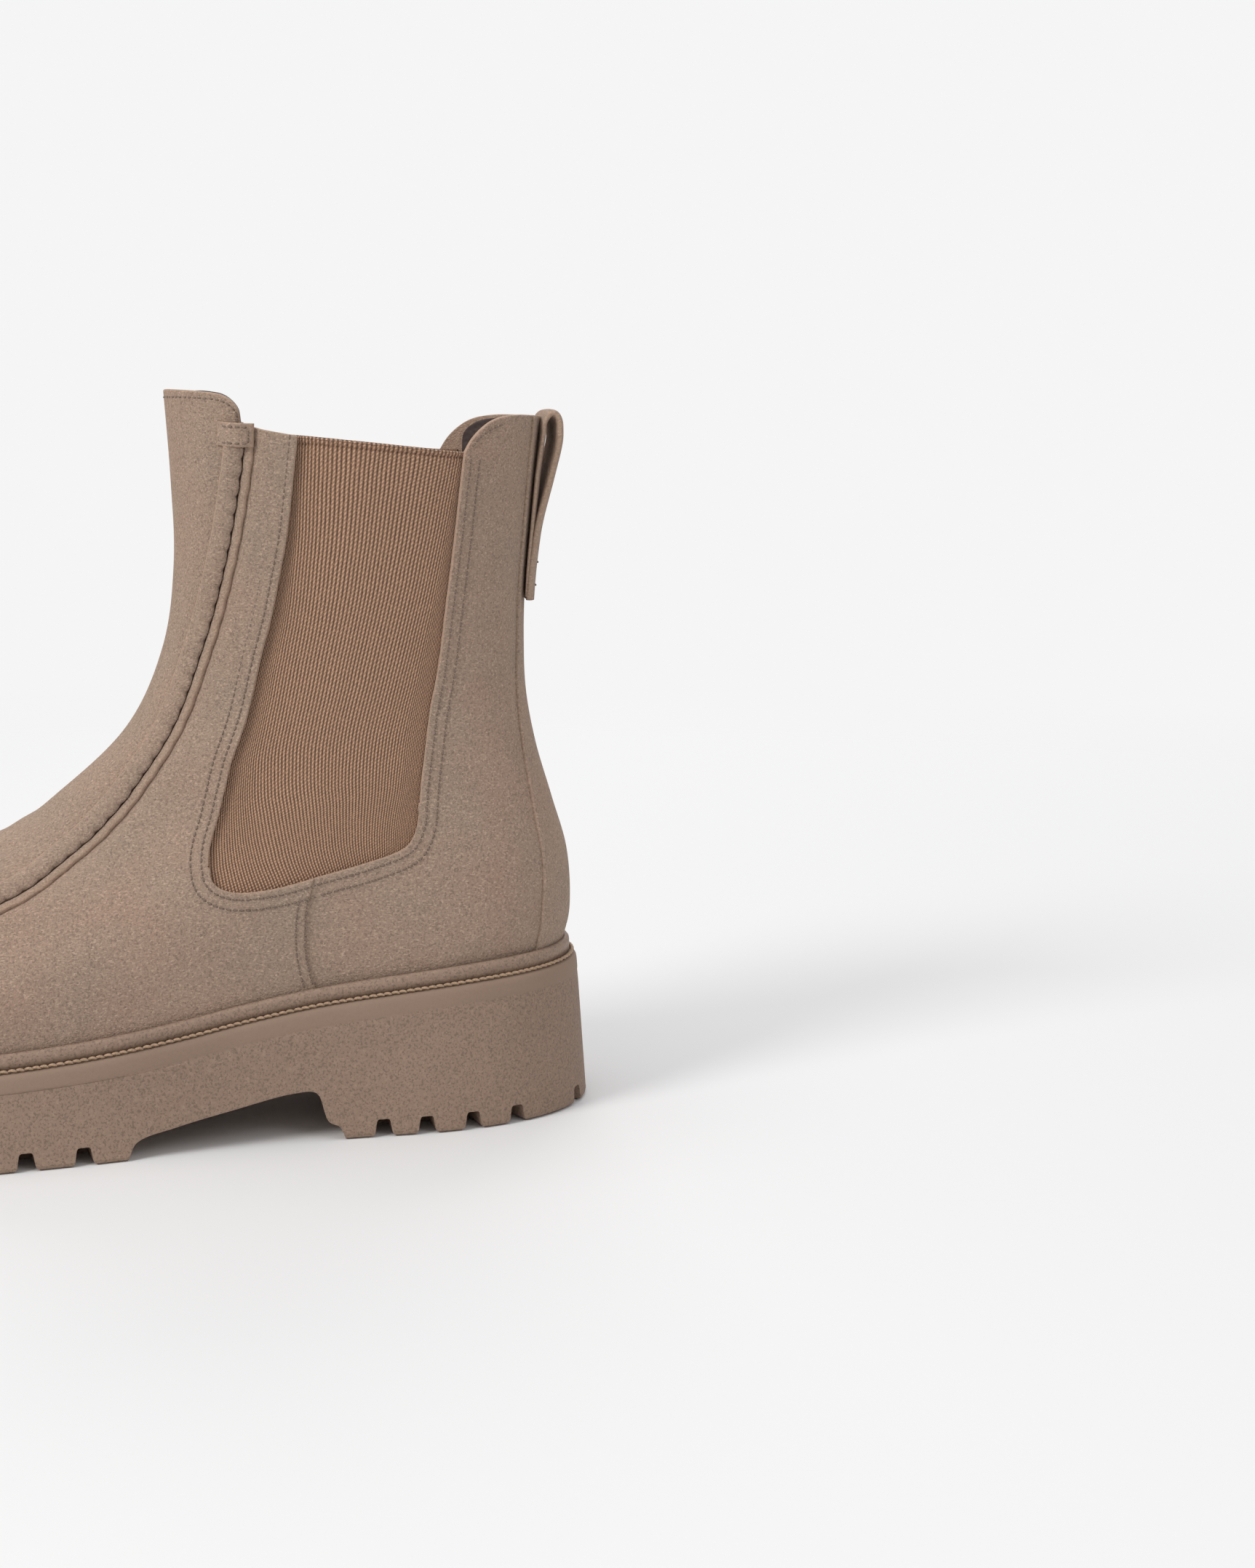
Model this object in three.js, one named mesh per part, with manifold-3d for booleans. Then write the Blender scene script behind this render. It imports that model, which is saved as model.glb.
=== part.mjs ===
// Chelsea ankle boot for the left foot: a suede upper with a raised apron seam, elastic side gores, a back
// strip with a pull loop, leather lining and stiffeners, on a welted, thick, lugged rubber sole.
// Millimetres, +Z up. The toe points along -Y, the outer (lateral) side of the foot is +X, and the origin is
// under the middle of the sole on the ground.
import * as THREE from "three";
import { mergeVertices } from "three/addons/utils/BufferGeometryUtils.js";
import Module from "manifold-3d";

const wasm = await Module();
wasm.setup();

// ---------------------------------------------------------------- driving dimensions
const FOOT_LENGTH = 264; // upper, from the back of the heel to the tip of the toe
const SHAFT_HEIGHT = 160; // from the upper's lower edge at the heel to the top of the front tab
const WIDTH_SCALE = 1; // all widths of the upper, 1 for a standard fitting
const HEEL_LIFT = 42.5; // top face of the sole above the ground, at the heel
const FORE_LIFT = 25.6; // the same at the ball of the foot
const TOE_SPRING = 8; // how much the sole curves up at the toe
const HEEL_BACK = 7.6; // from the rearmost foot of the sole to the upper
const LIP = 4.8; // how far the sole's top edge stands out past the upper
const FLARE = 2.8; // how much further out the sole's lower edge stands
const SUEDE = 1.5; // thickness of each suede panel
const LINING = 0.9;
const ELASTIC = 1.2;
const STIFFENER = 1.1; // heel counter and toe puff
const GAP = 0.35; // air left between neighbouring pieces
const WELT = 1.7; // thickness of the welt's flange
const BEAD_HEIGHT = 5; // welt's upstand against the upper, above the sole's top face
const BEAD_WIDTH = 2.3;
const THREAD_RADIUS = 0.65;
const BOARD = 2; // insole board
const FOOTBED = 3.2;
const SHANK_LENGTH = 96;
const SHANK_WIDTH = 14;
const SHANK_THICKNESS = 0.9;
const STRIP_TOP = 10.5; // half width of the back strip at the collar
const STRIP_FOOT = 19; // and at the sole
const ROLL_WIDTH = 4.2; // half width of the raised apron seam
const ROLL_HEIGHT = 3;
const LOOP_WIDTH = 20;
const LOOP_STANDOFF = 8; // fold of the pull loop behind the strip
const LOOP_HEIGHT = 52; // fold down to the loop's sewn end
const LUG_DEPTH = 5;
const LUG_GAP = 4.3; // at the ground
const LUG_GAP_TOP = 2.3;
const LUG_REACH = 13; // how far a side notch cuts in under the sole
const BAR_PITCH = 16.6; // bars of the tread inside the ring of lugs
const FLEX_GAP = 2.6; // room at the back for the collar's swing

// ---------------------------------------------------------------- small maths
const clamp = (x, low, high) => Math.min(high, Math.max(low, x));
const mix = (a, b, s) => a + (b - a) * s;

// A smooth curve y(x) through a few knots [x, y].
function through(knots) {
  const last = knots.length - 1;
  const slope = knots.map((_, i) => {
    const [a, b] = [knots[Math.max(0, i - 1)], knots[Math.min(last, i + 1)]];
    return (b[1] - a[1]) / (b[0] - a[0]);
  });
  return (at) => {
    const x = clamp(at, knots[0][0], knots[last][0]);
    let i = 0;
    while (i < last - 1 && x > knots[i + 1][0]) i++;
    const width = knots[i + 1][0] - knots[i][0];
    const s = (x - knots[i][0]) / width;
    const [s2, s3] = [s * s, s * s * s];
    return (
      (2 * s3 - 3 * s2 + 1) * knots[i][1] +
      (s3 - 2 * s2 + s) * width * slope[i] +
      (3 * s2 - 2 * s3) * knots[i + 1][1] +
      (s3 - s2) * width * slope[i + 1]
    );
  };
}

// ---------------------------------------------------------------- sole heights
// "Along" is the distance forward from the rearmost foot of the sole.
const SOLE_LENGTH = HEEL_BACK + FOOT_LENGTH + LIP + FLARE;
const heelShare = through([
  [0, 1],
  [0.14, 0.91],
  [0.284, 0.686],
  [0.365, 0.485],
  [0.42, 0.32],
  [0.474, 0.19],
  [0.53, 0.095],
  [0.6, 0.02],
  [0.68, 0],
  [1, 0],
]);
const springShare = through([
  [0, 0],
  [0.66, 0],
  [0.77, 0.1],
  [0.88, 0.46],
  [1, 1],
]);
function soleTop(along) {
  const share = along / SOLE_LENGTH;
  return FORE_LIFT + (HEEL_LIFT - FORE_LIFT) * heelShare(share) + TOE_SPRING * springShare(share);
}
const upperFoot = (along) => soleTop(along) + WELT + 2 * GAP;

// ---------------------------------------------------------------- the last: the upper's outer surface
// A point is named by turn and rise. Turn runs round the boot: 0 at the front, 1 (or -1) at the back,
// positive on the outer side. Rise runs from 0 at the sole to 1 at the collar.
// Profiles: [rise, share of FOOT_LENGTH, share of SHAFT_HEIGHT].
const BACK = [
  [0, 0, 0],
  [0.1, -0.01, 0.07],
  [0.2, -0.007, 0.174],
  [0.3, 0.0095, 0.272],
  [0.4, 0.027, 0.372],
  [0.5, 0.0375, 0.469],
  [0.6, 0.0395, 0.566],
  [0.7, 0.0375, 0.666],
  [0.8, 0.032, 0.766],
  [0.9, 0.026, 0.863],
  [1, 0.0195, 0.957],
];
const FRONT = [
  [0, 0.993, -0.065],
  [0.05, 1.003, -0.02],
  [0.1, 0.997, 0.025],
  [0.15, 0.967, 0.06],
  [0.2, 0.918, 0.082],
  [0.25, 0.855, 0.115],
  [0.3, 0.788, 0.142],
  [0.4, 0.653, 0.198],
  [0.45, 0.593, 0.24],
  [0.5, 0.543, 0.292],
  [0.6, 0.464, 0.414],
  [0.7, 0.423, 0.556],
  [0.8, 0.409, 0.704],
  [0.9, 0.41, 0.852],
  [1, 0.415, 1.003],
];
const column = (rows, k) => through(rows.map((row) => [row[0], row[k]]));
const [backAlong, backHigh] = [column(BACK, 1), column(BACK, 2)];
const [frontAlong, frontHigh] = [column(FRONT, 1), column(FRONT, 2)];

// Half widths, as the fullness of an oval, at stations from the back (0) to the front (1) of each level.
const STATIONS = [0, 0.12, 0.26, 0.4, 0.55, 0.7, 0.85, 1];
const OUTER_FULLNESS = [
  [0, [58, 48, 38.4, 38.5, 45, 53.5, 59, 64]],
  [0.1, [59, 49, 39.5, 39, 45.5, 53, 57, 61]],
  [0.2, [57, 48, 39, 37.5, 38.5, 41, 47, 50]],
  [0.3, [51, 44, 37, 34, 31.5, 30.5, 31.5, 33]],
  [0.4, [45, 39, 34, 31, 28, 26.5, 26, 26]],
  [0.55, [37, 34, 31, 29.5, 28, 26.5, 25.5, 25]],
  [0.75, [32, 31, 30, 29.5, 29, 28.5, 28, 28]],
  [1, [31, 31, 31, 31, 31, 30.5, 30, 30]],
];
const INNER_FULLNESS = [
  [0, [58, 47, 35.5, 31.5, 40, 50, 57, 64]],
  [0.1, [59, 48, 37.5, 34, 41, 50, 55, 61]],
  [0.2, [57, 48, 38, 35, 37, 40, 46, 50]],
  ...OUTER_FULLNESS.slice(3),
];
const TOE_INSET = 6; // the tip of the toe lies this far to the inner side
function fullnessOf(levels) {
  const stations = STATIONS.map((_, k) => through(levels.map(([rise, row]) => [rise, row[k]])));
  return (share, rise) => through(STATIONS.map((s, k) => [s, stations[k](rise)]))(share);
}
const fullness = { outer: fullnessOf(OUTER_FULLNESS), inner: fullnessOf(INNER_FULLNESS) };

const HEEL_FOOT = upperFoot(HEEL_BACK);
const TOE_ALONG = HEEL_BACK + 0.993 * FOOT_LENGTH;
const FADE_RISE = 0.35; // above this rise the sole's curve no longer shows in the upper

// Along and height of the side view, before any width.
function sideView(share, rise) {
  const back = HEEL_BACK + FOOT_LENGTH * backAlong(rise);
  const front = HEEL_BACK + FOOT_LENGTH * frontAlong(rise);
  const along = mix(back, front, share);
  const straight = HEEL_FOOT + SHAFT_HEIGHT * mix(backHigh(rise), frontHigh(rise), share);
  const fade = clamp(1 - rise / FADE_RISE, 0, 1) ** 2;
  const foot = mix(HEEL_BACK, TOE_ALONG, share);
  const base = HEEL_FOOT + SHAFT_HEIGHT * mix(backHigh(0), frontHigh(0), share);
  return [along, straight + fade * (upperFoot(foot) - base)];
}

// Boot coordinates are (along, out, up); "out" is positive on the outer side.
function onLast(turn, rise) {
  const share = (1 + Math.cos(Math.PI * turn)) / 2;
  const swing = Math.sin(Math.PI * turn);
  const [along, up] = sideView(share, rise);
  const full = (swing >= 0 ? fullness.outer : fullness.inner)(share, rise) * WIDTH_SCALE;
  const lean = clamp((share - 0.45) / 0.55, 0, 1) ** 2 * clamp(1 - rise / 0.5, 0, 1);
  return new THREE.Vector3(along, swing * full - TOE_INSET * lean, up);
}

// The same surface moved out along its normal; a negative distance is inside the boot.
function offLast(turn, rise, distance) {
  const step = 1e-3;
  const here = onLast(turn, rise);
  const round = onLast(turn + step, rise).sub(onLast(turn - step, rise));
  const climb = onLast(turn, Math.min(1, rise + step)).sub(onLast(turn, Math.max(0, rise - step)));
  return here.addScaledVector(round.cross(climb).normalize(), distance);
}

// Turn and rise of a place given in the side view.
function atSide(along, up) {
  let [low, high] = [0, 1];
  let share = 0;
  for (let i = 0; i < 40; i++) {
    const rise = (low + high) / 2;
    const back = HEEL_BACK + FOOT_LENGTH * backAlong(rise);
    const front = HEEL_BACK + FOOT_LENGTH * frontAlong(rise);
    share = clamp((along - back) / (front - back), 0, 1);
    if (sideView(share, rise)[1] < up) low = rise;
    else high = rise;
  }
  return [Math.acos(2 * share - 1) / Math.PI, (low + high) / 2];
}

// ---------------------------------------------------------------- seam lines, as [turn, rise] of s in 0..1
// Side-view places are written for the standard boot and follow its length and height.
const place = (along, up) =>
  atSide(HEEL_BACK + ((along - 7.6) / 264) * FOOT_LENGTH, HEEL_FOOT + ((up - 44.9) / 160) * SHAFT_HEIGHT);
function line(points) {
  const path = new THREE.CatmullRomCurve3(
    points.map(([turn, rise]) => new THREE.Vector3(turn, rise, 0)),
    false,
    "centripetal",
  );
  return (s) => {
    const p = path.getPoint(clamp(s, 0, 1));
    return [p.x, p.y];
  };
}
const sideLine = (places) => line(places.map(([along, up]) => place(along, up)));
const reversed = (f) => (s) => f(1 - s);
const mirrored = (f) => (s) => {
  const [turn, rise] = f(s);
  return [-turn, rise];
};
const part = (f, from, to) => (s) => f(mix(from, to, s));
// Two lines end to end, the first taking the given share of s.
const joined = (f, g, share) => (s) => (s < share ? f(s / share) : g((s - share) / (1 - share)));
const straight = (from, to) => (s) => [mix(from[0], to[0], s), mix(from[1], to[1], s)];

const FLEX_HEIGHT = 92; // where the collar bends back, just over the heel counter
const PIVOT_ALONG = 20;
const FEATHER_SEAM = atSide(81, upperFoot(81))[0];
const goreRear = sideLine([
  [37.3, 188],
  [39.6, 170],
  [43, 146],
  [47.3, 120.5],
  [50.6, 101],
  [51.8, FLEX_HEIGHT],
]);
const goreHeel = sideLine([
  [51.8, FLEX_HEIGHT],
  [52.6, 86],
  [56, 80],
  [65, 76.6],
  [81.5, 72.6],
]);
const goreFoot = sideLine([
  [81.5, 72.6],
  [92, 70.3],
  [103, 69.7],
  [108.6, 72],
  [110, 76.5],
]);
const goreFront = sideLine([
  [110, 76.5],
  [107.8, 87],
  [102.3, 106],
  [95.5, 128],
  [90.5, 147],
  [86.1, 170],
  [83.4, 192.5],
]);
const seamLine = line([
  [0, 0.2],
  [0.15, 0.2],
  [0.28, 0.203],
  place(165.4, 68),
  place(149.6, 78),
  place(137, 89.4),
  place(127, 101),
  place(118.3, 115),
  place(111.5, 132.5),
  place(106.5, 148),
  place(102.8, 164),
  place(100.3, 178),
  place(98.7, 190),
]);
const tabFront = sideLine([
  [98.7, 195.5],
  [99, 199.5],
  [101.5, 202.9],
  [107, 205],
  [117.2, 206],
]);
const tabBack = sideLine([
  [37.3, 188],
  [35.3, 191.2],
  [32.4, 194.2],
  [28.2, 196.8],
  [22, 198],
  [14, 198],
]);
const turnBack = (rise, half) =>
  1 - Math.asin(clamp(half / (fullness.outer(0.03, rise) * WIDTH_SCALE), 0, 1)) / Math.PI;
const stripHalf = through([
  [0, STRIP_FOOT],
  [0.25, mix(STRIP_FOOT, STRIP_TOP, 0.3)],
  [0.5, mix(STRIP_FOOT, STRIP_TOP, 0.8)],
  [0.7, STRIP_TOP],
  [1, STRIP_TOP],
]);
const stripEdge = (rise) => turnBack(rise, stripHalf(rise));
const TAB_SIDE = [stripEdge(1), 1];

// Rise at a given height on one turn of the boot.
function riseAt(turn, up) {
  const share = (1 + Math.cos(Math.PI * turn)) / 2;
  let [low, high] = [0, 1];
  for (let i = 0; i < 30; i++) {
    const rise = (low + high) / 2;
    if (sideView(share, rise)[1] < up) low = rise;
    else high = rise;
  }
  return (low + high) / 2;
}
const flexHigh = HEEL_FOOT + ((FLEX_HEIGHT - 44.9) / 160) * SHAFT_HEIGHT;
const flexLine = (from, to, offset) => (s) => {
  const turn = mix(from, to, s);
  return [turn, riseAt(turn, flexHigh + offset)];
};

// ---------------------------------------------------------------- building solids
// A patch between four lines that meet at their ends; s runs along bottom and top, t from bottom to top.
function patch(bottom, top, left, right) {
  return (s, t) => {
    const corner = (k) =>
      (1 - s) * (1 - t) * bottom(0)[k] + s * (1 - t) * bottom(1)[k] + (1 - s) * t * top(0)[k] + s * t * top(1)[k];
    return [0, 1].map(
      (k) => (1 - t) * bottom(s)[k] + t * top(s)[k] + (1 - s) * left(t)[k] + s * right(t)[k] - corner(k),
    );
  };
}
// A patch over both sides of the boot, from a half whose right side is the middle line at the front.
const bothSides = (half) => (s, t) => {
  const [turn, rise] = half(s < 0.5 ? 2 * s : 2 - 2 * s, t);
  return [s < 0.5 ? turn : -turn, rise];
};
const otherSide = (half) => (s, t) => {
  const [turn, rise] = half(s, t);
  return [-turn, rise];
};

function geometryOf(points, faces) {
  let volume = 0;
  faces.forEach(([a, b, c]) => (volume += points[a].dot(new THREE.Vector3().crossVectors(points[b], points[c]))));
  const flat = points.flatMap((p) => [p.x, p.y, p.z]);
  const turned = volume < 0 ? faces.map(([a, b, c]) => [a, c, b]) : faces;
  const geometry = new THREE.BufferGeometry();
  geometry.setAttribute("position", new THREE.Float32BufferAttribute(flat, 3));
  geometry.setIndex(turned.flat());
  return geometry;
}

// A closed block from two grids of the same size, grid[row][column].
function block(upper, lower) {
  const [rows, columns] = [upper.length, upper[0].length];
  const points = [...upper.flat(), ...lower.flat()];
  const top = (j, i) => j * columns + i;
  const low = (j, i) => rows * columns + j * columns + i;
  const faces = [];
  const quad = (a, b, c, d) => faces.push([a, b, c], [a, c, d]);
  for (let j = 0; j < rows - 1; j++)
    for (let i = 0; i < columns - 1; i++) {
      quad(top(j, i), top(j, i + 1), top(j + 1, i + 1), top(j + 1, i));
      quad(low(j, i), low(j + 1, i), low(j + 1, i + 1), low(j, i + 1));
    }
  for (let i = 0; i < columns - 1; i++) {
    quad(top(0, i), low(0, i), low(0, i + 1), top(0, i + 1));
    quad(top(rows - 1, i + 1), low(rows - 1, i + 1), low(rows - 1, i), top(rows - 1, i));
  }
  for (let j = 0; j < rows - 1; j++) {
    quad(top(j + 1, 0), low(j + 1, 0), low(j, 0), top(j, 0));
    quad(top(j, columns - 1), low(j, columns - 1), low(j + 1, columns - 1), top(j + 1, columns - 1));
  }
  return geometryOf(points, faces);
}

// A sheet that covers a patch of the last between two distances from it, short of its edges by half a gap.
function sheet(cover, columns, rows, near, far, edge = GAP) {
  const at = (s, t) => onLast(...cover(s, t));
  const lengthOf = (f) => {
    let sum = 0;
    for (let i = 0; i < 24; i++) sum += f(i / 24).distanceTo(f((i + 1) / 24));
    return sum;
  };
  const across = [];
  for (let j = 0; j <= rows; j++) across.push(edge / lengthOf((s) => at(s, j / rows)));
  const up = [];
  for (let i = 0; i <= columns; i++) up.push(edge / lengthOf((t) => at(i / columns, t)));
  const grid = (distance) =>
    across.map((sideways, j) =>
      up.map((rising, i) => {
        const [s, t] = [mix(sideways, 1 - sideways, i / columns), mix(rising, 1 - rising, j / rows)];
        const [turn, rise] = cover(s, t);
        return offLast(turn, rise, typeof distance === "function" ? distance(s, t, rise) : distance);
      }),
    );
  return block(grid(near), grid(far));
}

const solid = (geometry) => {
  const bare = geometry.clone();
  bare.deleteAttribute("normal");
  bare.deleteAttribute("uv");
  const merged = mergeVertices(bare, 1e-4);
  const triVerts = new Uint32Array(merged.index.array);
  return new wasm.Manifold(new wasm.Mesh({ numProp: 3, vertProperties: merged.attributes.position.array, triVerts }));
};
function geometryFrom(manifold) {
  const mesh = manifold.getMesh();
  const geometry = new THREE.BufferGeometry();
  geometry.setAttribute("position", new THREE.Float32BufferAttribute(mesh.vertProperties, 3));
  geometry.setIndex(Array.from(mesh.triVerts));
  return geometry;
}
// A prism across the boot from a side-view outline, between two "out" values.
function crossPrism(outline, from, to) {
  const shape = new THREE.Shape(outline.map(([along, up]) => new THREE.Vector2(along, up)));
  const geometry = new THREE.ExtrudeGeometry(shape, { depth: to - from, bevelEnabled: false });
  geometry.rotateX(Math.PI / 2);
  geometry.translate(0, to, 0);
  return geometry;
}

// ---------------------------------------------------------------- the foot's plan outline
function planOutline(offset, count) {
  const points = [];
  for (let i = 0; i < count; i++) {
    const turn = (2 * i) / count;
    const [a, b, c] = [turn - 0.004, turn, turn + 0.004].map((u) => onLast(u, 0));
    const normal = new THREE.Vector3(c.y - a.y, a.x - c.x, 0).normalize();
    points.push(new THREE.Vector3(b.x, b.y, 0).addScaledVector(normal, offset));
  }
  return points;
}
// Sets a flat outline at a height that depends on the distance along the boot.
const lifted = (points, heightOf) => points.map((p) => new THREE.Vector3(p.x, p.y, heightOf(p.x)));

// A slab filled inside an outline: rungs join the outer side to the inner side at each turn.
function slab(top, bottom) {
  const half = top.length / 2;
  const rungs = (ring) => {
    const rows = [];
    for (let i = 1; i < half; i++) rows.push([ring[i], ring[2 * half - i]]);
    return rows;
  };
  const end = (ring, i) => [ring[i].clone(), ring[i].clone()];
  const grid = (ring) => [...rungs(ring)];
  const [upper, lower] = [grid(top), grid(bottom)];
  const body = solid(block(upper, lower));
  const cap = (i, row) => {
    const [a, b] = end(top, i);
    const [c, d] = end(bottom, i);
    a.lerp(b, 0.5);
    c.lerp(d, 0.5);
    return wedge(a, upper[row], c, lower[row]);
  };
  return body.add(cap(0, 0)).add(cap(half, upper.length - 1));
}
// The triangular end of a slab.
function wedge(tip, side, tipLow, sideLow) {
  const points = [tip, side[0], side[1], tipLow, sideLow[0], sideLow[1]];
  const faces = [
    [0, 1, 2],
    [3, 5, 4],
    [0, 3, 4],
    [0, 4, 1],
    [1, 4, 5],
    [1, 5, 2],
    [2, 5, 3],
    [2, 3, 0],
  ];
  return solid(geometryOf(points, faces));
}

// A closed ring swept along the foot's outline; the section is a list of [offset, height over the sole top].
function outlineRing(section, count) {
  const rings = section.map(([offset, rise]) => lifted(planOutline(offset, count), (along) => soleTop(along) + rise));
  const size = section.length;
  const points = rings.flat();
  const faces = [];
  for (let k = 0; k < size; k++)
    for (let i = 0; i < count; i++) {
      const [a, b] = [k * count + i, k * count + ((i + 1) % count)];
      const [c, d] = [((k + 1) % size) * count + i, ((k + 1) % size) * count + ((i + 1) % count)];
      faces.push([a, b, d], [a, d, c]);
    }
  return geometryOf(points, faces);
}

// ---------------------------------------------------------------- sole
const SOLE_COUNT = 64;
const SHANK_FROM = 34;
const shankCourse = (along) => soleTop(along) - GAP;
function shankSolid(grow) {
  const stations = 12;
  const upper = [];
  const lower = [];
  const half = SHANK_WIDTH / 2 + grow;
  for (let i = 0; i <= stations; i++) {
    const along = mix(SHANK_FROM - grow, SHANK_FROM + SHANK_LENGTH + grow, i / stations);
    const out = mix(0, 3, i / stations);
    const high = shankCourse(along) + (grow > 0 ? 2 : 0);
    const low = shankCourse(along) - SHANK_THICKNESS - grow;
    upper.push([new THREE.Vector3(along, out - half, high), new THREE.Vector3(along, out + half, high)]);
    lower.push([new THREE.Vector3(along, out - half, low), new THREE.Vector3(along, out + half, low)]);
  }
  return block(upper, lower);
}
// What is cut away below the sole: the arch behind the heel's breast, and the spring of the toe.
function archCut() {
  return crossPrism(
    [
      [74.9, -2],
      [74.9, 0],
      [76.5, 3.5],
      [79.6, 5.3],
      [82.7, 13.4],
      [89.2, 13.8],
      [105, 10.9],
      [120.7, 7.7],
      [131.6, 4.7],
      [134.1, 0],
      [134.1, -2],
    ],
    -90,
    90,
  );
}
function springCut() {
  const outline = [];
  for (let along = 180; along <= 300; along += 12) outline.push([along, TOE_SPRING * springShare(along / SOLE_LENGTH)]);
  outline.push([300, -3], [180, -3]);
  return crossPrism(outline, -90, 90);
}
// Places of the notches along each side of the sole, and how many go round the toe between them.
const NOTCHES = [5.4, 25.8, 39.5, 52.8, 65.3, 145.8, 160.9, 175, 189, 203, 217, 231, 244];
const TOE_NOTCHES = 4;
// Notches round the sole's edge that part it into lugs, each at right angles to the edge.
function notches() {
  const outer = planOutline(LIP + FLARE, 720);
  const cuts = [];
  const cutAt = (i) => cuts.push(notchAt(outer[i], outer[(i + 1) % outer.length]));
  const ends = [];
  for (const way of [1, -1])
    for (const place of NOTCHES) {
      const along = (place / 279.2) * SOLE_LENGTH;
      let i = 0;
      while (i < 359 && outer[(720 + way * i) % 720].x > along) i++;
      cutAt((720 + way * i) % 720);
      if (place === NOTCHES.at(-1)) ends.push(i);
    }
  for (let k = 1; k <= TOE_NOTCHES; k++) {
    const turn = mix(-ends[1], ends[0], k / (TOE_NOTCHES + 1));
    cutAt((720 + Math.round(turn)) % 720);
  }
  return cuts;
}
function notchAt(point, next) {
  const way = next.clone().sub(point).normalize();
  const inward = new THREE.Vector3(-way.y, way.x, 0);
  const floor = TOE_SPRING * springShare(point.x / SOLE_LENGTH);
  const corner = (reach, half, up) =>
    point
      .clone()
      .addScaledVector(inward, reach)
      .addScaledVector(way, half)
      .setZ(up);
  const grid = (up, half) => [
    [corner(-6, -half, up), corner(-6, half, up)],
    [corner(LUG_REACH, -half, up), corner(LUG_REACH, half, up)],
  ];
  return solid(block(grid(floor + LUG_DEPTH, LUG_GAP_TOP / 2), grid(floor - 4, LUG_GAP / 2 + 0.8)));
}
// The pocket inside the ring of lugs, crossed by bars.
function treadPocket(from, to) {
  const inner = planOutline(-LUG_REACH + 1, SOLE_COUNT);
  const floor = (along) => TOE_SPRING * springShare(along / SOLE_LENGTH);
  let pocket = slab(
    lifted(inner, (along) => floor(along) + LUG_DEPTH),
    lifted(inner, (along) => floor(along) - 4),
  );
  pocket = pocket.intersect(crossSolid(from, to));
  for (let along = from + 9; along < to - 8; along += BAR_PITCH)
    pocket = pocket.subtract(crossSolid(along, along + 8.5));
  return pocket;
}
const crossSolid = (from, to) =>
  solid(
    crossPrism(
      [
        [from, -9],
        [to, -9],
        [to, 40],
        [from, 40],
      ],
      -90,
      90,
    ),
  );
function outsole() {
  const top = lifted(planOutline(LIP, SOLE_COUNT), soleTop);
  const lower = lifted(planOutline(LIP + FLARE, SOLE_COUNT), () => 0);
  let body = slab(top, lower).subtract(solid(archCut())).subtract(solid(springCut()));
  for (const cut of notches()) body = body.subtract(cut);
  body = body.subtract(treadPocket(9, 67)).subtract(treadPocket(143, 262));
  return geometryFrom(body.subtract(solid(shankSolid(GAP))));
}

const WELT_SECTION = [
  [-7, GAP],
  [GAP + BEAD_WIDTH, GAP],
  [GAP + BEAD_WIDTH, BEAD_HEIGHT - 0.8],
  [GAP + BEAD_WIDTH - 0.8, BEAD_HEIGHT],
  [GAP + 1.5, BEAD_HEIGHT],
  [GAP + 0.9, BEAD_HEIGHT - 1.4],
  [GAP + 0.4, GAP + WELT],
  [-7, GAP + WELT],
];
const welt = () => outlineRing(WELT_SECTION, SOLE_COUNT);
function weltStitching() {
  const middle = GAP + BEAD_WIDTH + THREAD_RADIUS + 0.3;
  const section = [0, 1, 2, 3].map((k) => {
    const angle = (k * Math.PI) / 2;
    return [middle + THREAD_RADIUS * Math.cos(angle), GAP + THREAD_RADIUS * (1 + Math.sin(angle))];
  });
  return outlineRing(section, SOLE_COUNT);
}
const flatLayer = (offset, low, high) => {
  const ring = planOutline(offset, SOLE_COUNT);
  const [upper, lower] = [high, low].map((rise) => lifted(ring, (along) => soleTop(along) + rise));
  return geometryFrom(slab(upper, lower));
};
const filler = () => flatLayer(-7 - GAP, GAP, GAP + WELT);
const insoleBoard = () => flatLayer(-6.6, WELT + 2 * GAP, WELT + 2 * GAP + BOARD);
const footbed = () => flatLayer(-7.2, WELT + 3 * GAP + BOARD, WELT + 3 * GAP + BOARD + FOOTBED);
const shank = () => shankSolid(0);

// ---------------------------------------------------------------- upper
const LAYER_GAP = 0.4;
const LINING_SLACK = 0.8; // the linings hang a little clear of what they line
const INNER = -(SUEDE + LAYER_GAP); // first depth free behind the suede
const DEEP = INNER - STIFFENER - LAYER_GAP; // behind the stiffeners
const feather = (from, to) => straight([from, 0], [to, 0]);
const seamSplit = [0.28, 0.203];
const seamSide = line([
  seamSplit,
  place(165.4, 68),
  place(149.6, 78),
  place(137, 89.4),
  place(127, 101),
  place(118.3, 115),
  place(111.5, 132.5),
  place(106.5, 148),
  place(102.8, 164),
  place(100.3, 178),
  place(98.7, 190),
  place(98.7, 195.5),
]);
const sideSeam = straight([FEATHER_SEAM, 0], place(81.5, 72.6));
const vampTop = straight(place(83.4, 192.5), place(98.7, 195.5));
const frontTop = (s) => {
  const [turn, rise] = tabFront(s);
  return [mix(turn, 0, s ** 6), Math.min(rise, 1)];
};

function vampHalf() {
  const outer = joined(
    feather(0, FEATHER_SEAM),
    joined(sideSeam, joined(goreFoot, goreFront, 1 / 8), 1 / 9),
    0.5,
  );
  const inner = joined(straight([0, 0.2], seamSplit), seamSide, 0.24);
  const front = straight([0, 0], [0, 0.2]);
  return patch(outer, inner, front, vampTop);
}
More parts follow.
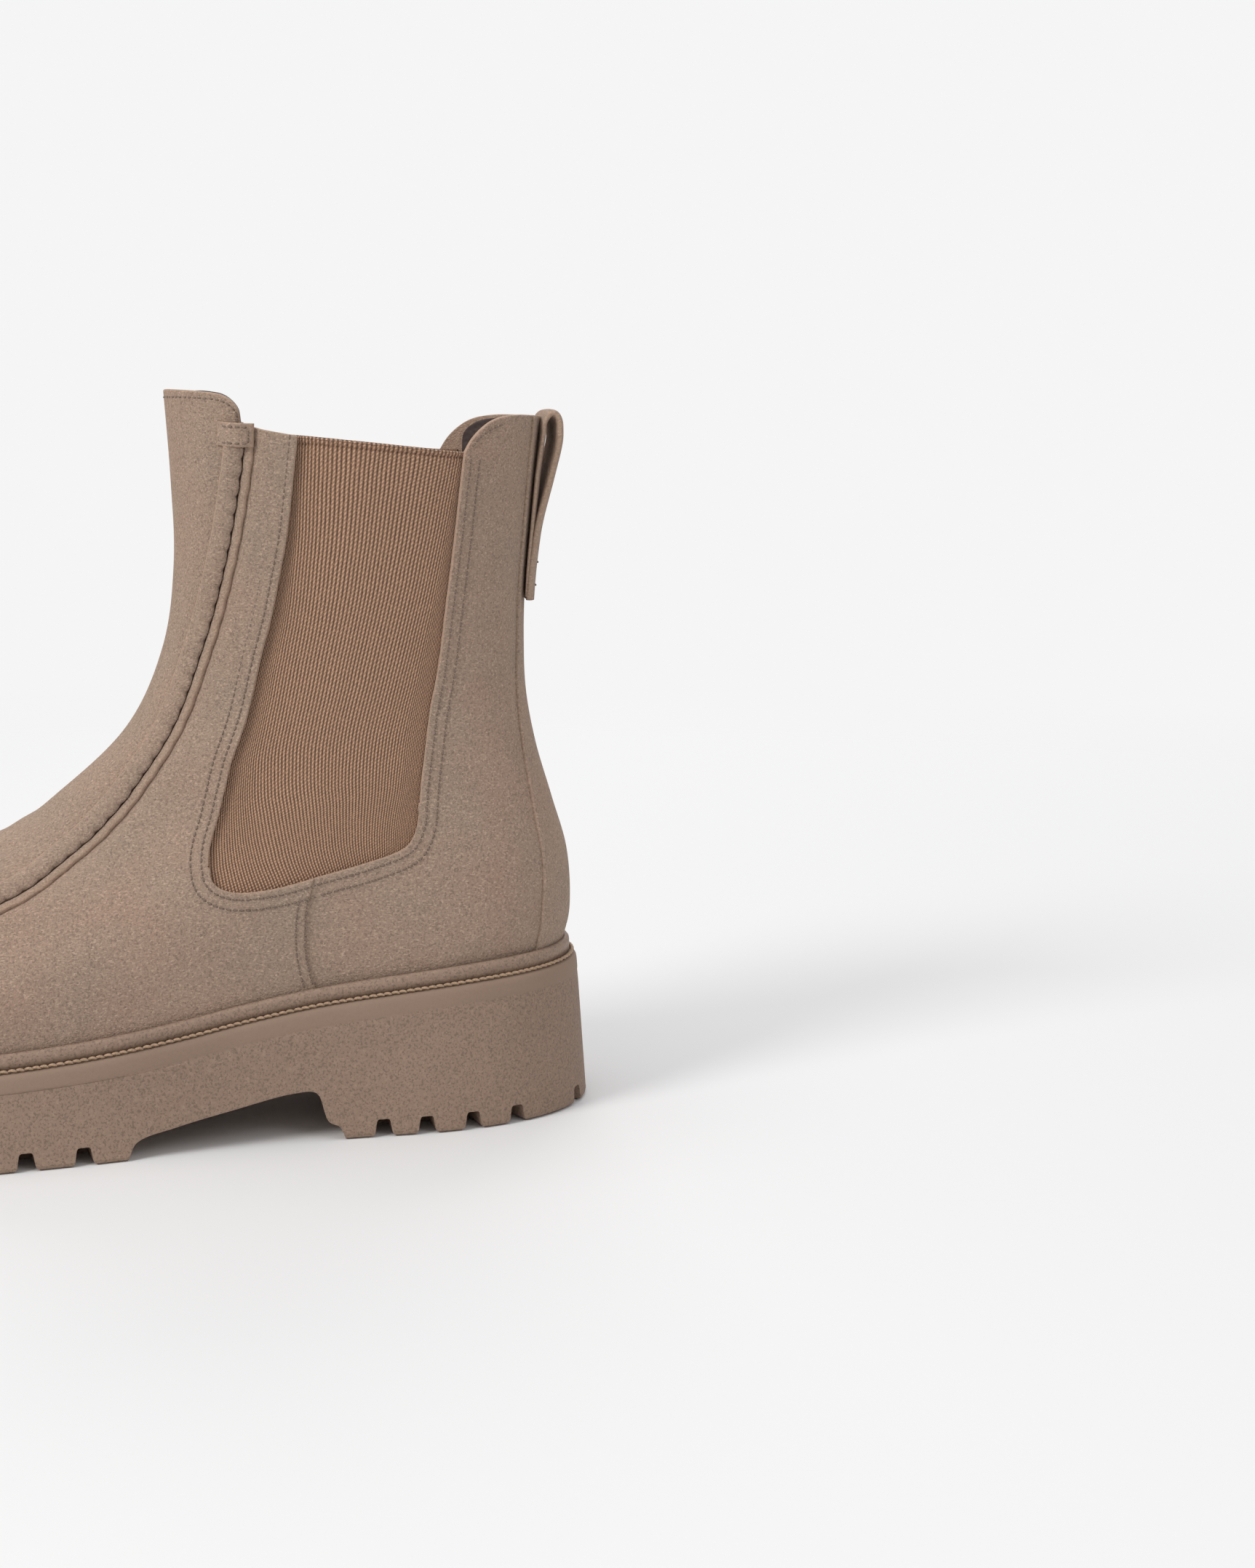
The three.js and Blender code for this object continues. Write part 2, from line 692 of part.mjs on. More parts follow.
// Seen from the back of the boot: s = 0 at the outer vamp's top, 1 at the inner one's.
const vampCover = () => {
  const half = vampHalf();
  return bothSides((s, t) => half(1 - s, t));
};
const vamp = () => sheet(vampCover(), 72, 9, 0, -SUEDE, 0.5);

function apronHalf() {
  const centre = straight([0, 0.2], [0, 1]);
  return patch(straight(seamSplit, [0, 0.2]), frontTop, seamSide, centre);
}
const apron = () => sheet(bothSides(apronHalf()), 12, 20, 0, -SUEDE, 1.2);

function quarterLowerHalf() {
  const flexTurn = goreRear(1)[0];
  const edge = (s) => {
    const rise = mix(0, riseAt(stripEdge(0.32), flexHigh - FLEX_GAP / 2), s);
    return [stripEdge(rise), rise];
  };
  const right = joined(sideSeam, reversed(goreHeel), 0.4);
  const rim = flexLine(edge(1)[0], flexTurn, -FLEX_GAP / 2);
  return patch(feather(stripEdge(0), FEATHER_SEAM), rim, edge, (s) => {
    const [turn, rise] = right(s);
    return s > 0.999 ? rim(1) : [turn, rise];
  });
}
const quarterLower = (half) => sheet(half, 8, 8, 0, -SUEDE);

function quarterUpperHalf() {
  const low = riseAt(stripEdge(0.32), flexHigh + FLEX_GAP / 2);
  const edge = (s) => [stripEdge(mix(low, 1, s)), mix(low, 1, s)];
  const rim = flexLine(edge(0)[0], goreRear(0.985)[0], FLEX_GAP / 2);
  const back = part(reversed(goreRear), 0, 1);
  const front = (s) => (s < 0.001 ? rim(1) : back(s));
  const corner = line([TAB_SIDE, place(22, 198), place(28.2, 196.8), place(32.4, 194.2), place(35.3, 191.2), place(37.3, 188)]);
  return patch(rim, corner, edge, front);
}
const quarterUpper = (half) => sheet(half, 5, 10, 0, -SUEDE);

function stripCover(low, high) {
  return (s, t) => {
    const rise = mix(low, high, t);
    const edge = stripEdge(rise);
    return [mix(edge, 2 - edge, s), rise];
  };
}
const stripLow = riseAt(1, flexHigh - FLEX_GAP / 2);
const stripHigh = riseAt(1, flexHigh + FLEX_GAP / 2);
const backStripLower = () => sheet(stripCover(0, stripLow), 8, 7, 0, -SUEDE);
const backStripUpper = () => sheet(stripCover(stripHigh, 1), 4, 11, 0, -SUEDE);

// Elastic gore, a margin wider than its window so that it tucks under the suede.
const MARGIN = 7;
function goreHalf() {
  const grow = (f, along, up) => sideLine([0, 0.2, 0.4, 0.6, 0.8, 1].map((s) => shifted(f(s), along, up)));
  const rear = grow((s) => goreRear(1 - s), -MARGIN, 0);
  const front = grow(goreFront, MARGIN, 0);
  const lowRear = rear(0);
  const top = straight(rear(1), front(1));
  const bottom = line([lowRear, place(53, 72), place(80, 65.5), place(102, 63), front(0)]);
  return patch(bottom, top, rear, front);
}
function shifted([turn, rise], along, up) {
  const share = (1 + Math.cos(Math.PI * turn)) / 2;
  const [x, z] = sideView(share, rise);
  const across = 7.6 + ((x + along - HEEL_BACK) / FOOT_LENGTH) * 264;
  return [across, 44.9 + ((z + up - HEEL_FOOT) / SHAFT_HEIGHT) * 160];
}
const gore = (half) => sheet(half, 9, 12, INNER - 0.9, INNER - 0.9 - ELASTIC);

// Linings sit straight behind the suede, and behind the stiffeners where there are any.
const liningDepth = (rise) => mix(DEEP, INNER, clamp((rise - 0.24) / 0.12, 0, 1)) - LINING_SLACK;
const nearLining = (s, t, rise) => liningDepth(rise);
const farLining = (s, t, rise) => liningDepth(rise) - LINING;
const LINING_FOOT = 0.012;
function frontLiningHalf() {
  const rear = line([
    [FEATHER_SEAM - 0.01, LINING_FOOT],
    place(82, 52),
    place(84, 60),
    place(100, 60.5),
    place(116, 64),
    place(119, 74),
    place(115.5, 89),
    place(110, 107),
    place(103.5, 128.5),
    place(98.5, 148),
    place(94.2, 171),
    place(91.8, 193.6),
  ]);
  const top = line([place(91.8, 193.6), place(98, 194.5), place(101.5, 200), place(107, 202.5), [0, 0.98]]);
  return patch(straight([FEATHER_SEAM - 0.01, LINING_FOOT], [0, LINING_FOOT]), top, rear, straight([0, LINING_FOOT], [0, 0.98]));
}
const frontLining = () => sheet(bothSides(frontLiningHalf()), 30, 13, nearLining, farLining);
function backLiningLowerHalf() {
  const rim = flexLine(place(43, FLEX_HEIGHT)[0], 1, -FLEX_GAP / 2);
  const front = line([
    [FEATHER_SEAM + 0.01, LINING_FOOT],
    place(79, 52),
    place(75, 60),
    place(60, 64),
    place(47.5, 71),
    place(44, 80),
    rim(0),
  ]);
  return patch(straight([FEATHER_SEAM + 0.01, LINING_FOOT], [1, LINING_FOOT]), rim, front, straight([1, LINING_FOOT], rim(1)));
}
const aroundBack = (half) => (s, t) => {
  const [turn, rise] = half(s < 0.5 ? 2 * s : 2 - 2 * s, t);
  return [s < 0.5 ? turn : 2 - turn, rise];
};
const backLiningLower = () => sheet(aroundBack(backLiningLowerHalf()), 22, 7, nearLining, farLining);
function backLiningUpperHalf() {
  const rim = flexLine(place(42, FLEX_HEIGHT + 3)[0], 1, FLEX_GAP / 2);
  const front = line([rim(0), place(38.5, 120), place(34, 146), place(30.8, 170), place(28.8, 186.5)]);
  const top = line([place(28.8, 186.5), place(26.5, 191), place(22, 194.3), place(17, 195), [1, 0.98]]);
  return patch(rim, top, front, straight(rim(1), [1, 0.98]));
}
const backLiningUpper = () => sheet(aroundBack(backLiningUpperHalf()), 12, 8, nearLining, farLining);

function heelCounter() {
  const rim = line([[0.8, 0.012], [0.79, 0.1], [0.82, 0.2], [0.88, 0.262], [1, 0.272]]);
  const half = patch(straight([0.68, 0.012], [1, 0.012]), line([[0.7, 0.13], [0.78, 0.2], [0.88, 0.25], [1, 0.262]]),
    straight([0.68, 0.012], [0.7, 0.13]), straight([1, 0.012], [1, 0.262]));
  return sheet(aroundBack(half), 16, 4, INNER, INNER - STIFFENER);
}
function toePuff() {
  const half = patch(straight([0.34, 0.012], [0, 0.012]), straight([0.3, 0.15], [0, 0.19]),
    straight([0.34, 0.012], [0.3, 0.15]), straight([0, 0.012], [0, 0.19]));
  return sheet(bothSides(half), 20, 4, INNER - 0.2, INNER - 0.2 - STIFFENER);
}

// Raised apron seam: a half-round bead that rides on the suede from one collar tab round the toe to the other.
const SEAM_ROUND = joined(straight([0, 0.2], seamSplit), part(seamSide, 0, 0.895), 0.24);
function apronRoll() {
  const at = (u) => {
    const [turn, rise] = SEAM_ROUND(Math.abs(u));
    return offLast(u < 0 ? -turn : turn, rise, GAP);
  };
  const count = 60;
  const ring = [];
  for (let k = 0; k <= 6; k++) {
    const angle = (k * Math.PI) / 6;
    ring.push([ROLL_WIDTH * Math.cos(angle), ROLL_HEIGHT * Math.sin(angle)]);
  }
  ring.push([-ROLL_WIDTH * 0.4, 0.25], [ROLL_WIDTH * 0.4, 0.25]);
  const stations = [];
  for (let i = 0; i <= count; i++) {
    const u = mix(-1, 1, i / count);
    const [turn, rise] = SEAM_ROUND(Math.abs(u));
    const here = at(u);
    const way = at(Math.min(1, u + 0.004)).sub(at(Math.max(-1, u - 0.004))).normalize();
    const signed = u < 0 ? -turn : turn;
    const out = offLast(signed, rise, 5).sub(offLast(signed, rise, 0)).normalize();
    const side = way.clone().cross(out).normalize();
    stations.push(ring.map(([x, y]) => here.clone().addScaledVector(side, x).addScaledVector(out, y + 0.4)));
  }
  const size = ring.length;
  const faces = [];
  for (let i = 0; i < count; i++)
    for (let k = 0; k < size; k++) {
      const [a, b] = [i * size + k, i * size + ((k + 1) % size)];
      faces.push([a, b, b + size], [a, b + size, a + size]);
    }
  for (let k = 1; k < size - 1; k++) {
    faces.push([0, k + 1, k]);
    faces.push([count * size, count * size + k, count * size + k + 1]);
  }
  return geometryOf(stations.flat(), faces);
}
function seamTabHalf() {
  return patch(
    straight(place(93.5, 189.8), place(106.5, 190.6)),
    straight(place(93.5, 195.6), place(106.5, 196.6)),
    straight(place(93.5, 189.8), place(93.5, 195.6)),
    straight(place(106.5, 190.6), place(106.5, 196.6)),
  );
}
const seamTab = (half) => sheet(half, 4, 2, GAP + 1.6, GAP);

// ---------------------------------------------------------------- pull loop
const LOOP_THICKNESS = 1.2;
const loopTop = HEEL_FOOT + SHAFT_HEIGHT * 0.957;
const backAt = (up) => onLast(1, riseAt(1, up)).x;
// A strap across the back from a side-view course of its outer face and one of its inner face.
function strap(outer, inner) {
  const [upper, lower] = [outer, inner].map((course) =>
    course.map(([along, up]) => [-0.5, 0.5].map((w) => new THREE.Vector3(along, w * LOOP_WIDTH, up))),
  );
  return block(upper, lower);
}
// Courses of the loop's outer leg: the stand-off from the strip, against the drop below the collar.
const standOff = through([
  [0, LOOP_STANDOFF * 0.8],
  [6, LOOP_STANDOFF],
  [16, LOOP_STANDOFF * 0.93],
  [30, LOOP_STANDOFF * 0.62],
  [LOOP_HEIGHT - 12, LOOP_THICKNESS + 2.3],
  [LOOP_HEIGHT, LOOP_THICKNESS + 2.15],
]);
function pullLoop() {
  const outer = [];
  const inner = [];
  for (let i = 0; i <= 12; i++) {
    const drop = mix(LOOP_HEIGHT, 3, i / 12);
    const up = loopTop - drop;
    outer.push([backAt(up) - standOff(drop), up]);
    inner.push([backAt(up) - standOff(drop) + LOOP_THICKNESS, up]);
  }
  const fold = [
    [150, 2.2],
    [115, 3.4],
    [80, 3.6],
    [45, 3.2],
    [10, 1.4],
  ];
  const middle = backAt(loopTop - 3) - LOOP_STANDOFF / 2;
  const reach = middle - (backAt(loopTop - 3) - standOff(3));
  fold.forEach(([angle]) => {
    const a = (angle * Math.PI) / 180;
    const at = (r, h) => [middle + r * Math.cos(a), loopTop - 2.4 + h * Math.sin(a)];
    outer.push(at(reach, 4.6));
    inner.push(at(reach - LOOP_THICKNESS, 4.6 - LOOP_THICKNESS));
  });
  return strap(outer, inner);
}
function pullLoopBase() {
  const outer = [];
  const inner = [];
  for (let i = 0; i <= 9; i++) {
    const up = mix(loopTop - LOOP_HEIGHT, loopTop - 5, i / 9);
    inner.push([backAt(up) - 0.4, up]);
    outer.push([backAt(up) - 0.4 - LOOP_THICKNESS, up]);
  }
  return strap(outer, inner);
}

// ---------------------------------------------------------------- assembly
const boot = new THREE.Group();
// Boot coordinates to the part's frame: toe towards -Y, outer side +X.
const turnAbout = new THREE.Matrix4().set(0, 1, 0, 0, -1, 0, 0, 0, 0, 0, 1, 0, 0, 0, 0, 1);
const finish = (color, roughness, metalness = 0) => new THREE.MeshStandardMaterial({ color, roughness, metalness });
const suede = finish(0x968473, 0.95);
const elastic = finish(0x85705c, 0.9);
const leather = finish(0x3a2b28, 0.6);
const rubber = finish(0x8f7d6d, 0.75);
const thread = finish(0xb08a5c, 0.7);
const board = finish(0x8a7458, 0.9);
const cork = finish(0x9c774d, 0.95);
const steel = finish(0xa9abad, 0.35, 1);
const stiffener = finish(0xcfc7b8, 0.8);
function add(name, geometry, material) {
  const placed = geometry.clone().applyMatrix4(turnAbout);
  const mesh = new THREE.Mesh(placed, material);
  mesh.name = name;
  boot.add(mesh);
}
add("outsole", outsole(), rubber);
add("welt", welt(), rubber);
add("welt_stitching", weltStitching(), thread);
add("filler", filler(), cork);
add("shank", shank(), steel);
add("insole_board", insoleBoard(), board);
add("footbed", footbed(), leather);
add("heel_counter", heelCounter(), stiffener);
add("toe_puff", toePuff(), stiffener);
add("vamp", vamp(), suede);
add("apron", apron(), suede);
add("apron_roll", apronRoll(), suede);
add("seam_tab_lateral", seamTab(seamTabHalf()), suede);
add("seam_tab_medial", seamTab(otherSide(seamTabHalf())), suede);
add("quarter_lower_lateral", quarterLower(quarterLowerHalf()), suede);
add("quarter_lower_medial", quarterLower(otherSide(quarterLowerHalf())), suede);
add("quarter_upper_lateral", quarterUpper(quarterUpperHalf()), suede);
add("quarter_upper_medial", quarterUpper(otherSide(quarterUpperHalf())), suede);
add("gore_lateral", gore(goreHalf()), elastic);
add("gore_medial", gore(otherSide(goreHalf())), elastic);
add("back_strip_lower", backStripLower(), suede);
add("back_strip_upper", backStripUpper(), suede);
add("front_lining", frontLining(), leather);
add("back_lining_lower", backLiningLower(), leather);
add("back_lining_upper", backLiningUpper(), leather);
add("pull_loop_base", pullLoopBase(), suede);
add("pull_loop", pullLoop(), suede);

// The origin goes under the middle of the sole.
boot.updateMatrixWorld(true);
const bounds = new THREE.Box3().setFromObject(boot);
const middle = bounds.getCenter(new THREE.Vector3());
boot.position.set(-middle.x, -middle.y, -bounds.min.z);

export default boot;
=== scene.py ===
"""Chelsea ankle boot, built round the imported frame.

Suede panels, elastic gores, apron seam, pull loop, lining, welt and lugged sole.
"""

import math

import bmesh
import bpy
import numpy as np
from bpy.props import FloatProperty, FloatVectorProperty, PointerProperty
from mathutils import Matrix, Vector
from mathutils.kdtree import KDTree


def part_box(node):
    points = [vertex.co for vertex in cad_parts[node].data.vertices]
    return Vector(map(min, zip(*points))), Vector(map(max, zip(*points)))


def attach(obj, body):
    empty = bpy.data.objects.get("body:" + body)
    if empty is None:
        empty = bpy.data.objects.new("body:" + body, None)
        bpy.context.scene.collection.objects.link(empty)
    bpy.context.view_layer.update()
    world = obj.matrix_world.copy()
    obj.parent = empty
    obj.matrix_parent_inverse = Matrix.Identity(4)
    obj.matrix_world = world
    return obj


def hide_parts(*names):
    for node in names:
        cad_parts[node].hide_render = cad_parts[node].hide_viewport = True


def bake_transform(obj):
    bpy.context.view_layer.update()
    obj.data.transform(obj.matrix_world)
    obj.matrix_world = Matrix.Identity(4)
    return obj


bl_info = {
    "name": "Chelsea Boot",
    "version": (1, 0, 0),
    "blender": (4, 5, 0),
    "location": "3D View > Sidebar > Boot",
    "description": "Builds a suede chelsea boot with elastic gores on a lugged sole",
    "category": "Object",
}

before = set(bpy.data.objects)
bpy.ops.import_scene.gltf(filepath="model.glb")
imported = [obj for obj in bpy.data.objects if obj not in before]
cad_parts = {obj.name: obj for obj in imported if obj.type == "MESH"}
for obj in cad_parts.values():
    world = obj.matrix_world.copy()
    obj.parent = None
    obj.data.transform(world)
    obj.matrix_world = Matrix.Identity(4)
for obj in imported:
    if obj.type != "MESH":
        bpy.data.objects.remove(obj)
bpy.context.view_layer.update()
MM = 0.001
SAMPLE = 0.25  # spacing of the samples along a seam

# ---------------------------------------------------------------- the last, as in the pattern (millimetres)
FOOT_LENGTH = 264
SHAFT_HEIGHT = 160
HEEL_LIFT = 42.5
FORE_LIFT = 25.6
TOE_SPRING = 8
HEEL_BACK = 7.6
LIP = 4.8
FLARE = 2.8
WELT = 1.7
GAP = 0.35
TOE_INSET = 6
FADE_RISE = 0.35
SOLE_LENGTH = HEEL_BACK + FOOT_LENGTH + LIP + FLARE
HEEL_SHARE = [(0, 1), (0.14, 0.91), (0.284, 0.686), (0.365, 0.485), (0.42, 0.32), (0.474, 0.19),
              (0.53, 0.095),
              (0.6, 0.02), (0.68, 0), (1, 0)]
SPRING_SHARE = [(0, 0), (0.66, 0), (0.77, 0.1), (0.88, 0.46), (1, 1)]
BACK = [(0, 0, 0), (0.1, -0.01, 0.07), (0.2, -0.007, 0.174), (0.3, 0.0095, 0.272), (0.4, 0.027, 0.372),
        (0.5, 0.0375, 0.469), (0.6, 0.0395, 0.566), (0.7, 0.0375, 0.666), (0.8, 0.032, 0.766),
        (0.9, 0.026, 0.863),
        (1, 0.0195, 0.957)]
FRONT = [(0, 0.993, -0.065), (0.05, 1.003, -0.02), (0.1, 0.997, 0.025), (0.15, 0.967, 0.06),
         (0.2, 0.918, 0.082),
         (0.25, 0.855, 0.115), (0.3, 0.788, 0.142), (0.4, 0.653, 0.198), (0.45, 0.593, 0.24),
         (0.5, 0.543, 0.292),
         (0.6, 0.464, 0.414), (0.7, 0.423, 0.556), (0.8, 0.409, 0.704), (0.9, 0.41, 0.852), (1, 0.415, 1.003)]
STATIONS = np.array([0, 0.12, 0.26, 0.4, 0.55, 0.7, 0.85, 1])
HIGH_FULLNESS = [
    (0.3, [51, 44, 37, 34, 31.5, 30.5, 31.5, 33]),
    (0.4, [45, 39, 34, 31, 28, 26.5, 26, 26]),
    (0.55, [37, 34, 31, 29.5, 28, 26.5, 25.5, 25]),
    (0.75, [32, 31, 30, 29.5, 29, 28.5, 28, 28]),
    (1, [31, 31, 31, 31, 31, 30.5, 30, 30]),
]
OUTER_FULLNESS = [
    (0, [58, 48, 38.4, 38.5, 45, 53.5, 59, 64]),
    (0.1, [59, 49, 39.5, 39, 45.5, 53, 57, 61]),
    (0.2, [57, 48, 39, 37.5, 38.5, 41, 47, 50]),
    *HIGH_FULLNESS,
]
INNER_FULLNESS = [
    (0, [58, 47, 35.5, 31.5, 40, 50, 57, 64]),
    (0.1, [59, 48, 37.5, 34, 41, 50, 55, 61]),
    (0.2, [57, 48, 38, 35, 37, 40, 46, 50]),
    *HIGH_FULLNESS,
]


def hermite(xs, ys, at):
    """A smooth curve through (xs, ys); ys may hold one row of values for each knot."""
    xs = np.asarray(xs, float)
    ys = np.asarray(ys, float)
    at = np.clip(np.asarray(at, float), xs[0], xs[-1])
    slope = np.empty_like(ys)
    shape = (-1,) + (1,) * (ys.ndim - 1)
    slope[1:-1] = (ys[2:] - ys[:-2]) / (xs[2:] - xs[:-2]).reshape(shape)
    slope[0] = (ys[1] - ys[0]) / (xs[1] - xs[0])
    slope[-1] = (ys[-1] - ys[-2]) / (xs[-1] - xs[-2])
    i = np.clip(np.searchsorted(xs, at, side="left") - 1, 0, len(xs) - 2)
    width = xs[i + 1] - xs[i]
    s = (at - xs[i]) / width
    if ys.ndim == 1:
        y0, y1, m0, m1 = ys[i], ys[i + 1], slope[i], slope[i + 1]
    else:
        pick = np.arange(ys.shape[1])
        y0, y1, m0, m1 = ys[i, pick], ys[i + 1, pick], slope[i, pick], slope[i + 1, pick]
    return ((2 * s**3 - 3 * s**2 + 1) * y0 + (s**3 - 2 * s**2 + s) * width * m0
            + (3 * s**2 - 2 * s**3) * y1 + (s**3 - s**2) * width * m1)


def through(knots, column=1):
    xs = [k[0] for k in knots]
    ys = [k[column] for k in knots]
    return lambda at: hermite(xs, ys, at)


heel_share, spring_share = through(HEEL_SHARE), through(SPRING_SHARE)
back_along, back_high = through(BACK, 1), through(BACK, 2)
front_along, front_high = through(FRONT, 1), through(FRONT, 2)


def sole_top(along):
    share = np.asarray(along, float) / SOLE_LENGTH
    return FORE_LIFT + (HEEL_LIFT - FORE_LIFT) * heel_share(share) + TOE_SPRING * spring_share(share)


def spring(along):
    return TOE_SPRING * spring_share(np.asarray(along, float) / SOLE_LENGTH)


def upper_foot(along):
    return sole_top(along) + WELT + 2 * GAP


def fullness(levels, share, rise):
    rows = np.array([hermite([r for r, _ in levels], [row[k] for _, row in levels],
                             rise) for k in range(len(STATIONS))])
    return hermite(STATIONS, rows.reshape(len(STATIONS), -1), np.ravel(share)).reshape(np.shape(share))


HEEL_FOOT = float(upper_foot(HEEL_BACK))
TOE_ALONG = HEEL_BACK + 0.993 * FOOT_LENGTH


def side_view(share, rise):
    back = HEEL_BACK + FOOT_LENGTH * back_along(rise)
    front = HEEL_BACK + FOOT_LENGTH * front_along(rise)
    along = back + (front - back) * share
    low, high = back_high(rise), front_high(rise)
    straight_up = HEEL_FOOT + SHAFT_HEIGHT * (low + (high - low) * share)
    fade = np.clip(1 - rise / FADE_RISE, 0, 1) ** 2
    foot = HEEL_BACK + (TOE_ALONG - HEEL_BACK) * share
    base = HEEL_FOOT + SHAFT_HEIGHT * (0 + (-0.065) * share)
    return along, straight_up + fade * (upper_foot(foot) - base)


def on_last(turn, rise):
    """Points (along, out, up) on the upper's outer surface, in millimetres."""
    turn, rise = np.broadcast_arrays(np.asarray(turn, float), np.asarray(rise, float))
    share = (1 + np.cos(math.pi * turn)) / 2
    swing = np.sin(math.pi * turn)
    along, up = side_view(share, rise)
    full = np.where(swing >= 0, fullness(OUTER_FULLNESS, share, rise), fullness(INNER_FULLNESS, share, rise))
    lean = np.clip((share - 0.45) / 0.55, 0, 1) ** 2 * np.clip(1 - rise / 0.5, 0, 1)
    return np.stack([along, swing * full - TOE_INSET * lean, up], -1)


def facing(turn, rise):
    """Unit normals of the last, outwards."""
    step = 1e-3
    turned = on_last(turn + step, rise) - on_last(turn - step, rise)
    risen = on_last(turn, np.minimum(1, rise + step)) - on_last(turn, np.maximum(0, rise - step))
    normal = np.cross(turned, risen)
    return normal / np.linalg.norm(normal, axis=-1, keepdims=True)


def off_last(turn, rise, distance):
    turn, rise = np.broadcast_arrays(np.asarray(turn, float), np.asarray(rise, float))
    return on_last(turn, rise) + facing(turn, rise) * np.asarray(distance, float)[..., None]


def place(along, up):
    """Turn and rise of a place named in the side view."""
    low, high = 0.0, 1.0
    share = 0.0
    for _ in range(40):
        rise = (low + high) / 2
        back = HEEL_BACK + FOOT_LENGTH * float(back_along(rise))
        front = HEEL_BACK + FOOT_LENGTH * float(front_along(rise))
        share = min(1, max(0, (along - back) / (front - back)))
        if float(side_view(share, rise)[1]) < up:
            low = rise
        else:
            high = rise
    return math.acos(2 * share - 1) / math.pi, (low + high) / 2


def rise_at(turn, up):
    turn = np.asarray(turn, float)
    share = (1 + np.cos(math.pi * turn)) / 2
    low, high = np.zeros_like(share), np.ones_like(share)
    for _ in range(30):
        middle = (low + high) / 2
        under = side_view(share, middle)[1] < up
        low, high = np.where(under, middle, low), np.where(under, high, middle)
    return (low + high) / 2


def plan_outline(offset, count):
    """The foot's outline seen from above, moved outwards, as (along, out)."""
    turn = 2 * np.arange(count) / count
    a, b, c = (on_last(turn + d, 0 * turn)[:, :2] for d in (-0.004, 0, 0.004))
    normal = np.stack([c[:, 1] - a[:, 1], a[:, 0] - c[:, 0]], -1)
    normal /= np.linalg.norm(normal, axis=1, keepdims=True)
    return b + normal * offset


_rim = plan_outline(LIP + FLARE, 64)
_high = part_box("outsole")[1]
OUT_SHIFT = _high.x / MM - _rim[:, 1].max()
ALONG_SHIFT = _high.y / MM + _rim[:, 0].min()


def placed(points):
    """Boot millimetres (along, out, up) to the frame's metres."""
    points = np.asarray(points, float)
    return np.stack([points[..., 1] + OUT_SHIFT, ALONG_SHIFT - points[..., 0], points[..., 2]], -1) * MM


# ---------------------------------------------------------------- seam lines
# Each is a function of s in 0..1 that gives turn and rise.
def line(points):
    """A centripetal curve through (turn, rise) points, by its share of the knots."""
    p = np.array(points, float)
    p = np.vstack([2 * p[0] - p[1], p, 2 * p[-1] - p[-2]])

    def at(s):
        s = np.clip(np.asarray(s, float), 0, 1) * (len(p) - 3)
        i = np.minimum(s.astype(int), len(p) - 4)
        w = (s - i)[..., None]
        p0, p1, p2, p3 = p[i], p[i + 1], p[i + 2], p[i + 3]

        def gap(a, b):
            return np.maximum(np.linalg.norm(b - a, axis=-1, keepdims=True) ** 0.5, 1e-4)

        d0, d1, d2 = gap(p0, p1), gap(p1, p2), gap(p2, p3)
        m1 = ((p1 - p0) / d0 - (p2 - p0) / (d0 + d1) + (p2 - p1) / d1) * d1
        m2 = ((p2 - p1) / d1 - (p3 - p1) / (d1 + d2) + (p3 - p2) / d2) * d1
        return ((2 * w**3 - 3 * w**2 + 1) * p1 + (w**3 - 2 * w**2 + w) * m1
                + (3 * w**2 - 2 * w**3) * p2 + (w**3 - w**2) * m2)

    return at




def side_line(places):
    return line([place(a, u) for a, u in places])


def backwards(f):
    return lambda s: f(1 - np.asarray(s, float))


def straight(a, b):
    a, b = np.array(a, float), np.array(b, float)
    return lambda s: a + (b - a) * np.asarray(s, float)[..., None]


def joined(f, g, share):
    def at(s):
        s = np.asarray(s, float)
        return np.where((s < share)[..., None], f(np.minimum(s / share, 1)),
                        g(np.maximum((s - share) / (1 - share), 0)))
    return at


def stretch_of(f, a, b):
    return lambda s: f(a + (b - a) * np.asarray(s, float))


def cover(bottom, top, left, right):
    """A patch between four lines; s runs along bottom and top, t from bottom to top."""
    corners = [bottom(np.array(0.0)), bottom(np.array(1.0)), top(np.array(0.0)), top(np.array(1.0))]

    def at(s, t):
        s1, t1 = s[..., None], t[..., None]
        return ((1 - t1) * bottom(s) + t1 * top(s) + (1 - s1) * left(t) + s1 * right(t)
                - (1 - s1) * (1 - t1) * corners[0] - s1 * (1 - t1) * corners[1]
                - (1 - s1) * t1 * corners[2] - s1 * t1 * corners[3])
    return at


def both_sides(half):
    def at(s, t):
        p = half(np.where(s < 0.5, 2 * s, 2 - 2 * s), t)
        return np.stack([np.where(s < 0.5, p[..., 0], -p[..., 0]), p[..., 1]], -1)
    return at


def round_back(half):
    def at(s, t):
        p = half(np.where(s < 0.5, 2 * s, 2 - 2 * s), t)
        return np.stack([np.where(s < 0.5, p[..., 0], 2 - p[..., 0]), p[..., 1]], -1)
    return at


def other_side(half):
    def at(s, t):
        p = half(s, t)
        return np.stack([-p[..., 0], p[..., 1]], -1)
    return at


